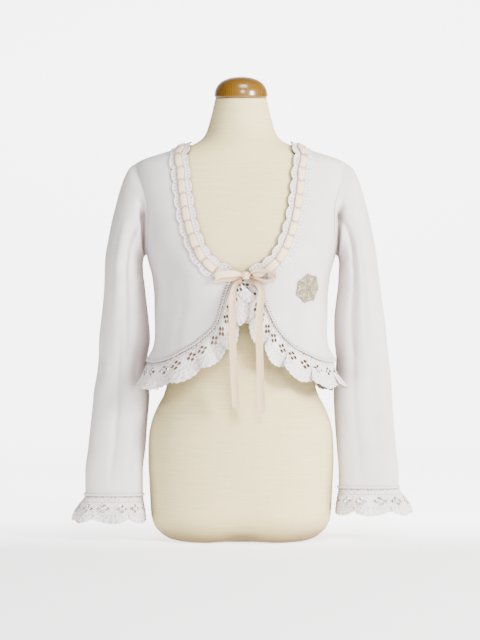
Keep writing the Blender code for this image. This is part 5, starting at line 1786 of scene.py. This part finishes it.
class ShrugSizes(bpy.types.PropertyGroup):
    """Sizes of the cloth, and how finely each piece is divided."""

    knit_thickness: length_property("Knit", "Thickness of the jersey", KNIT * MM)
    lace_thickness: length_property("Lace", "Thickness of the crochet", 0.0012)
    ribbon_thickness: length_property("Ribbon", "Thickness of the satin", 0.0009)
    knit_rows: count_property("Panel rows", "Rows up a knit panel", 109)
    knit_columns: count_property("Panel columns", "Columns across a knit panel", 73)
    sleeve_rows: count_property("Sleeve rows", "Rings down a sleeve", 163)
    sleeve_columns: count_property("Sleeve columns", "Columns round a sleeve", 96)
    bow_steps: count_property("Bow steps", "Rows along a ribbon", 73)
    form_sides: count_property("Form sides", "Sides round the form", 96)
    cap_rings: count_property("Cap rings", "Rings up the cap", 40)
    paper_glow: light_property("Paper glow", "The backdrop's own light", 5.0)
    room_light: light_property("Room light", "Light from all round", 0.10)


class ShrugColours(bpy.types.PropertyGroup):
    """Base colours of the finishes."""

    knit: colour_property("Knit", "Off-white jersey", (0.745, 0.695, 0.688))
    lace: colour_property("Lace", "Cotton crochet", (0.96, 0.885, 0.87))
    satin: colour_property("Satin", "Cream ribbon", (0.96, 0.75, 0.50))
    linen: colour_property("Linen", "The form's cover", (0.77, 0.645, 0.34))
    wood: colour_property("Wood", "The neck cap", (0.165, 0.078, 0.006))
    gold: colour_property("Gold", "Embroidery thread", (0.34, 0.28, 0.16))
    paper: colour_property("Paper", "Floor and backdrop", (0.90, 0.90, 0.90))


def made_by(context, *makers):
    """Calls an operator's makers in order, and says that it finished."""
    for make in makers:
        make(context.scene.shrug_sizes)
    return {"FINISHED"}


class SHRUG_OT_dress_form(bpy.types.Operator):
    """Model the limbless form and its linen cover"""

    bl_idname = "shrug.dress_form"
    bl_label = "Dress form"

    def execute(self, context):
        return made_by(context, make_form)


class SHRUG_OT_neck_cap(bpy.types.Operator):
    """Model the turned and varnished neck cap"""

    bl_idname = "shrug.neck_cap"
    bl_label = "Neck cap"

    def execute(self, context):
        return made_by(context, make_cap)


class SHRUG_OT_knit_body(bpy.types.Operator):
    """Model the two fronts and the back"""

    bl_idname = "shrug.knit_body"
    bl_label = "Fronts and back"

    def execute(self, context):
        return made_by(context, make_back, make_fronts)


class SHRUG_OT_sleeves(bpy.types.Operator):
    """Model both long sleeves"""

    bl_idname = "shrug.sleeves"
    bl_label = "Sleeves"

    def execute(self, context):
        return made_by(context, make_sleeves)


class SHRUG_OT_laces(bpy.types.Operator):
    """Model the gathered crochet at the hem and the cuffs"""

    bl_idname = "shrug.laces"
    bl_label = "Hem and cuff lace"

    def execute(self, context):
        return made_by(context, make_hem_laces, make_cuff_laces)


class SHRUG_OT_neck_trim(bpy.types.Operator):
    """Model the neck's beading lace, its ribbon and the bars that hold it"""

    bl_idname = "shrug.neck_trim"
    bl_label = "Neck trim"

    def execute(self, context):
        return made_by(context, make_neck_lace, make_neck_ribbon)


class SHRUG_OT_bow(bpy.types.Operator):
    """Model the bow: its knot, loops and free ends"""

    bl_idname = "shrug.bow"
    bl_label = "Bow"

    def execute(self, context):
        return made_by(context, make_knot, make_tails, make_loops)


class SHRUG_OT_embroidery(bpy.types.Operator):
    """Model the gold flower on the chest"""

    bl_idname = "shrug.embroidery"
    bl_label = "Embroidery"

    def execute(self, context):
        return made_by(context, make_embroidery)


class SHRUG_OT_edges(bpy.types.Operator):
    """Model the knit's picot edges and seams"""

    bl_idname = "shrug.edges"
    bl_label = "Edges and seams"

    def execute(self, context):
        return made_by(context, make_hem_edges, make_sleeve_edges, make_body_seams)


class SHRUG_OT_stage(bpy.types.Operator):
    """Set the floor, the lights and the camera"""

    bl_idname = "shrug.stage"
    bl_label = "Stage"

    def execute(self, context):
        return made_by(context, make_stage)


STEPS = [
    SHRUG_OT_stage,
    SHRUG_OT_dress_form,
    SHRUG_OT_neck_cap,
    SHRUG_OT_knit_body,
    SHRUG_OT_sleeves,
    SHRUG_OT_laces,
    SHRUG_OT_neck_trim,
    SHRUG_OT_bow,
    SHRUG_OT_embroidery,
    SHRUG_OT_edges,
]


class SHRUG_PT_panel(bpy.types.Panel):
    """The shrug's settings and pieces"""

    bl_label = "Knitted shrug"
    bl_idname = "SHRUG_PT_panel"
    bl_space_type = "VIEW_3D"
    bl_region_type = "UI"
    bl_category = "Shrug"

    def draw(self, context):
        for group in (context.scene.shrug_sizes, context.scene.shrug_colours):
            box = self.layout.box()
            for key in group.__annotations__:
                box.prop(group, key)
        for step in STEPS:
            self.layout.operator(step.bl_idname)


CLASSES = [ShrugSizes, ShrugColours, *STEPS, SHRUG_PT_panel]


def register():
    for made in CLASSES:
        bpy.utils.register_class(made)
    bpy.types.Scene.shrug_sizes = PointerProperty(type=ShrugSizes)
    bpy.types.Scene.shrug_colours = PointerProperty(type=ShrugColours)


def unregister():
    del bpy.types.Scene.shrug_colours
    del bpy.types.Scene.shrug_sizes
    for made in reversed(CLASSES):
        bpy.utils.unregister_class(made)


def corners(box):
    return [[round(float(value), 5) for value in corner] for corner in box]


def main():
    register()
    for step in STEPS:
        group, action = step.bl_idname.split(".")
        getattr(getattr(bpy.ops, group), action)()
    {"cad": corners(CAD_BOX), "visual": corners(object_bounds())}


if __name__ == "__main__":
    main()
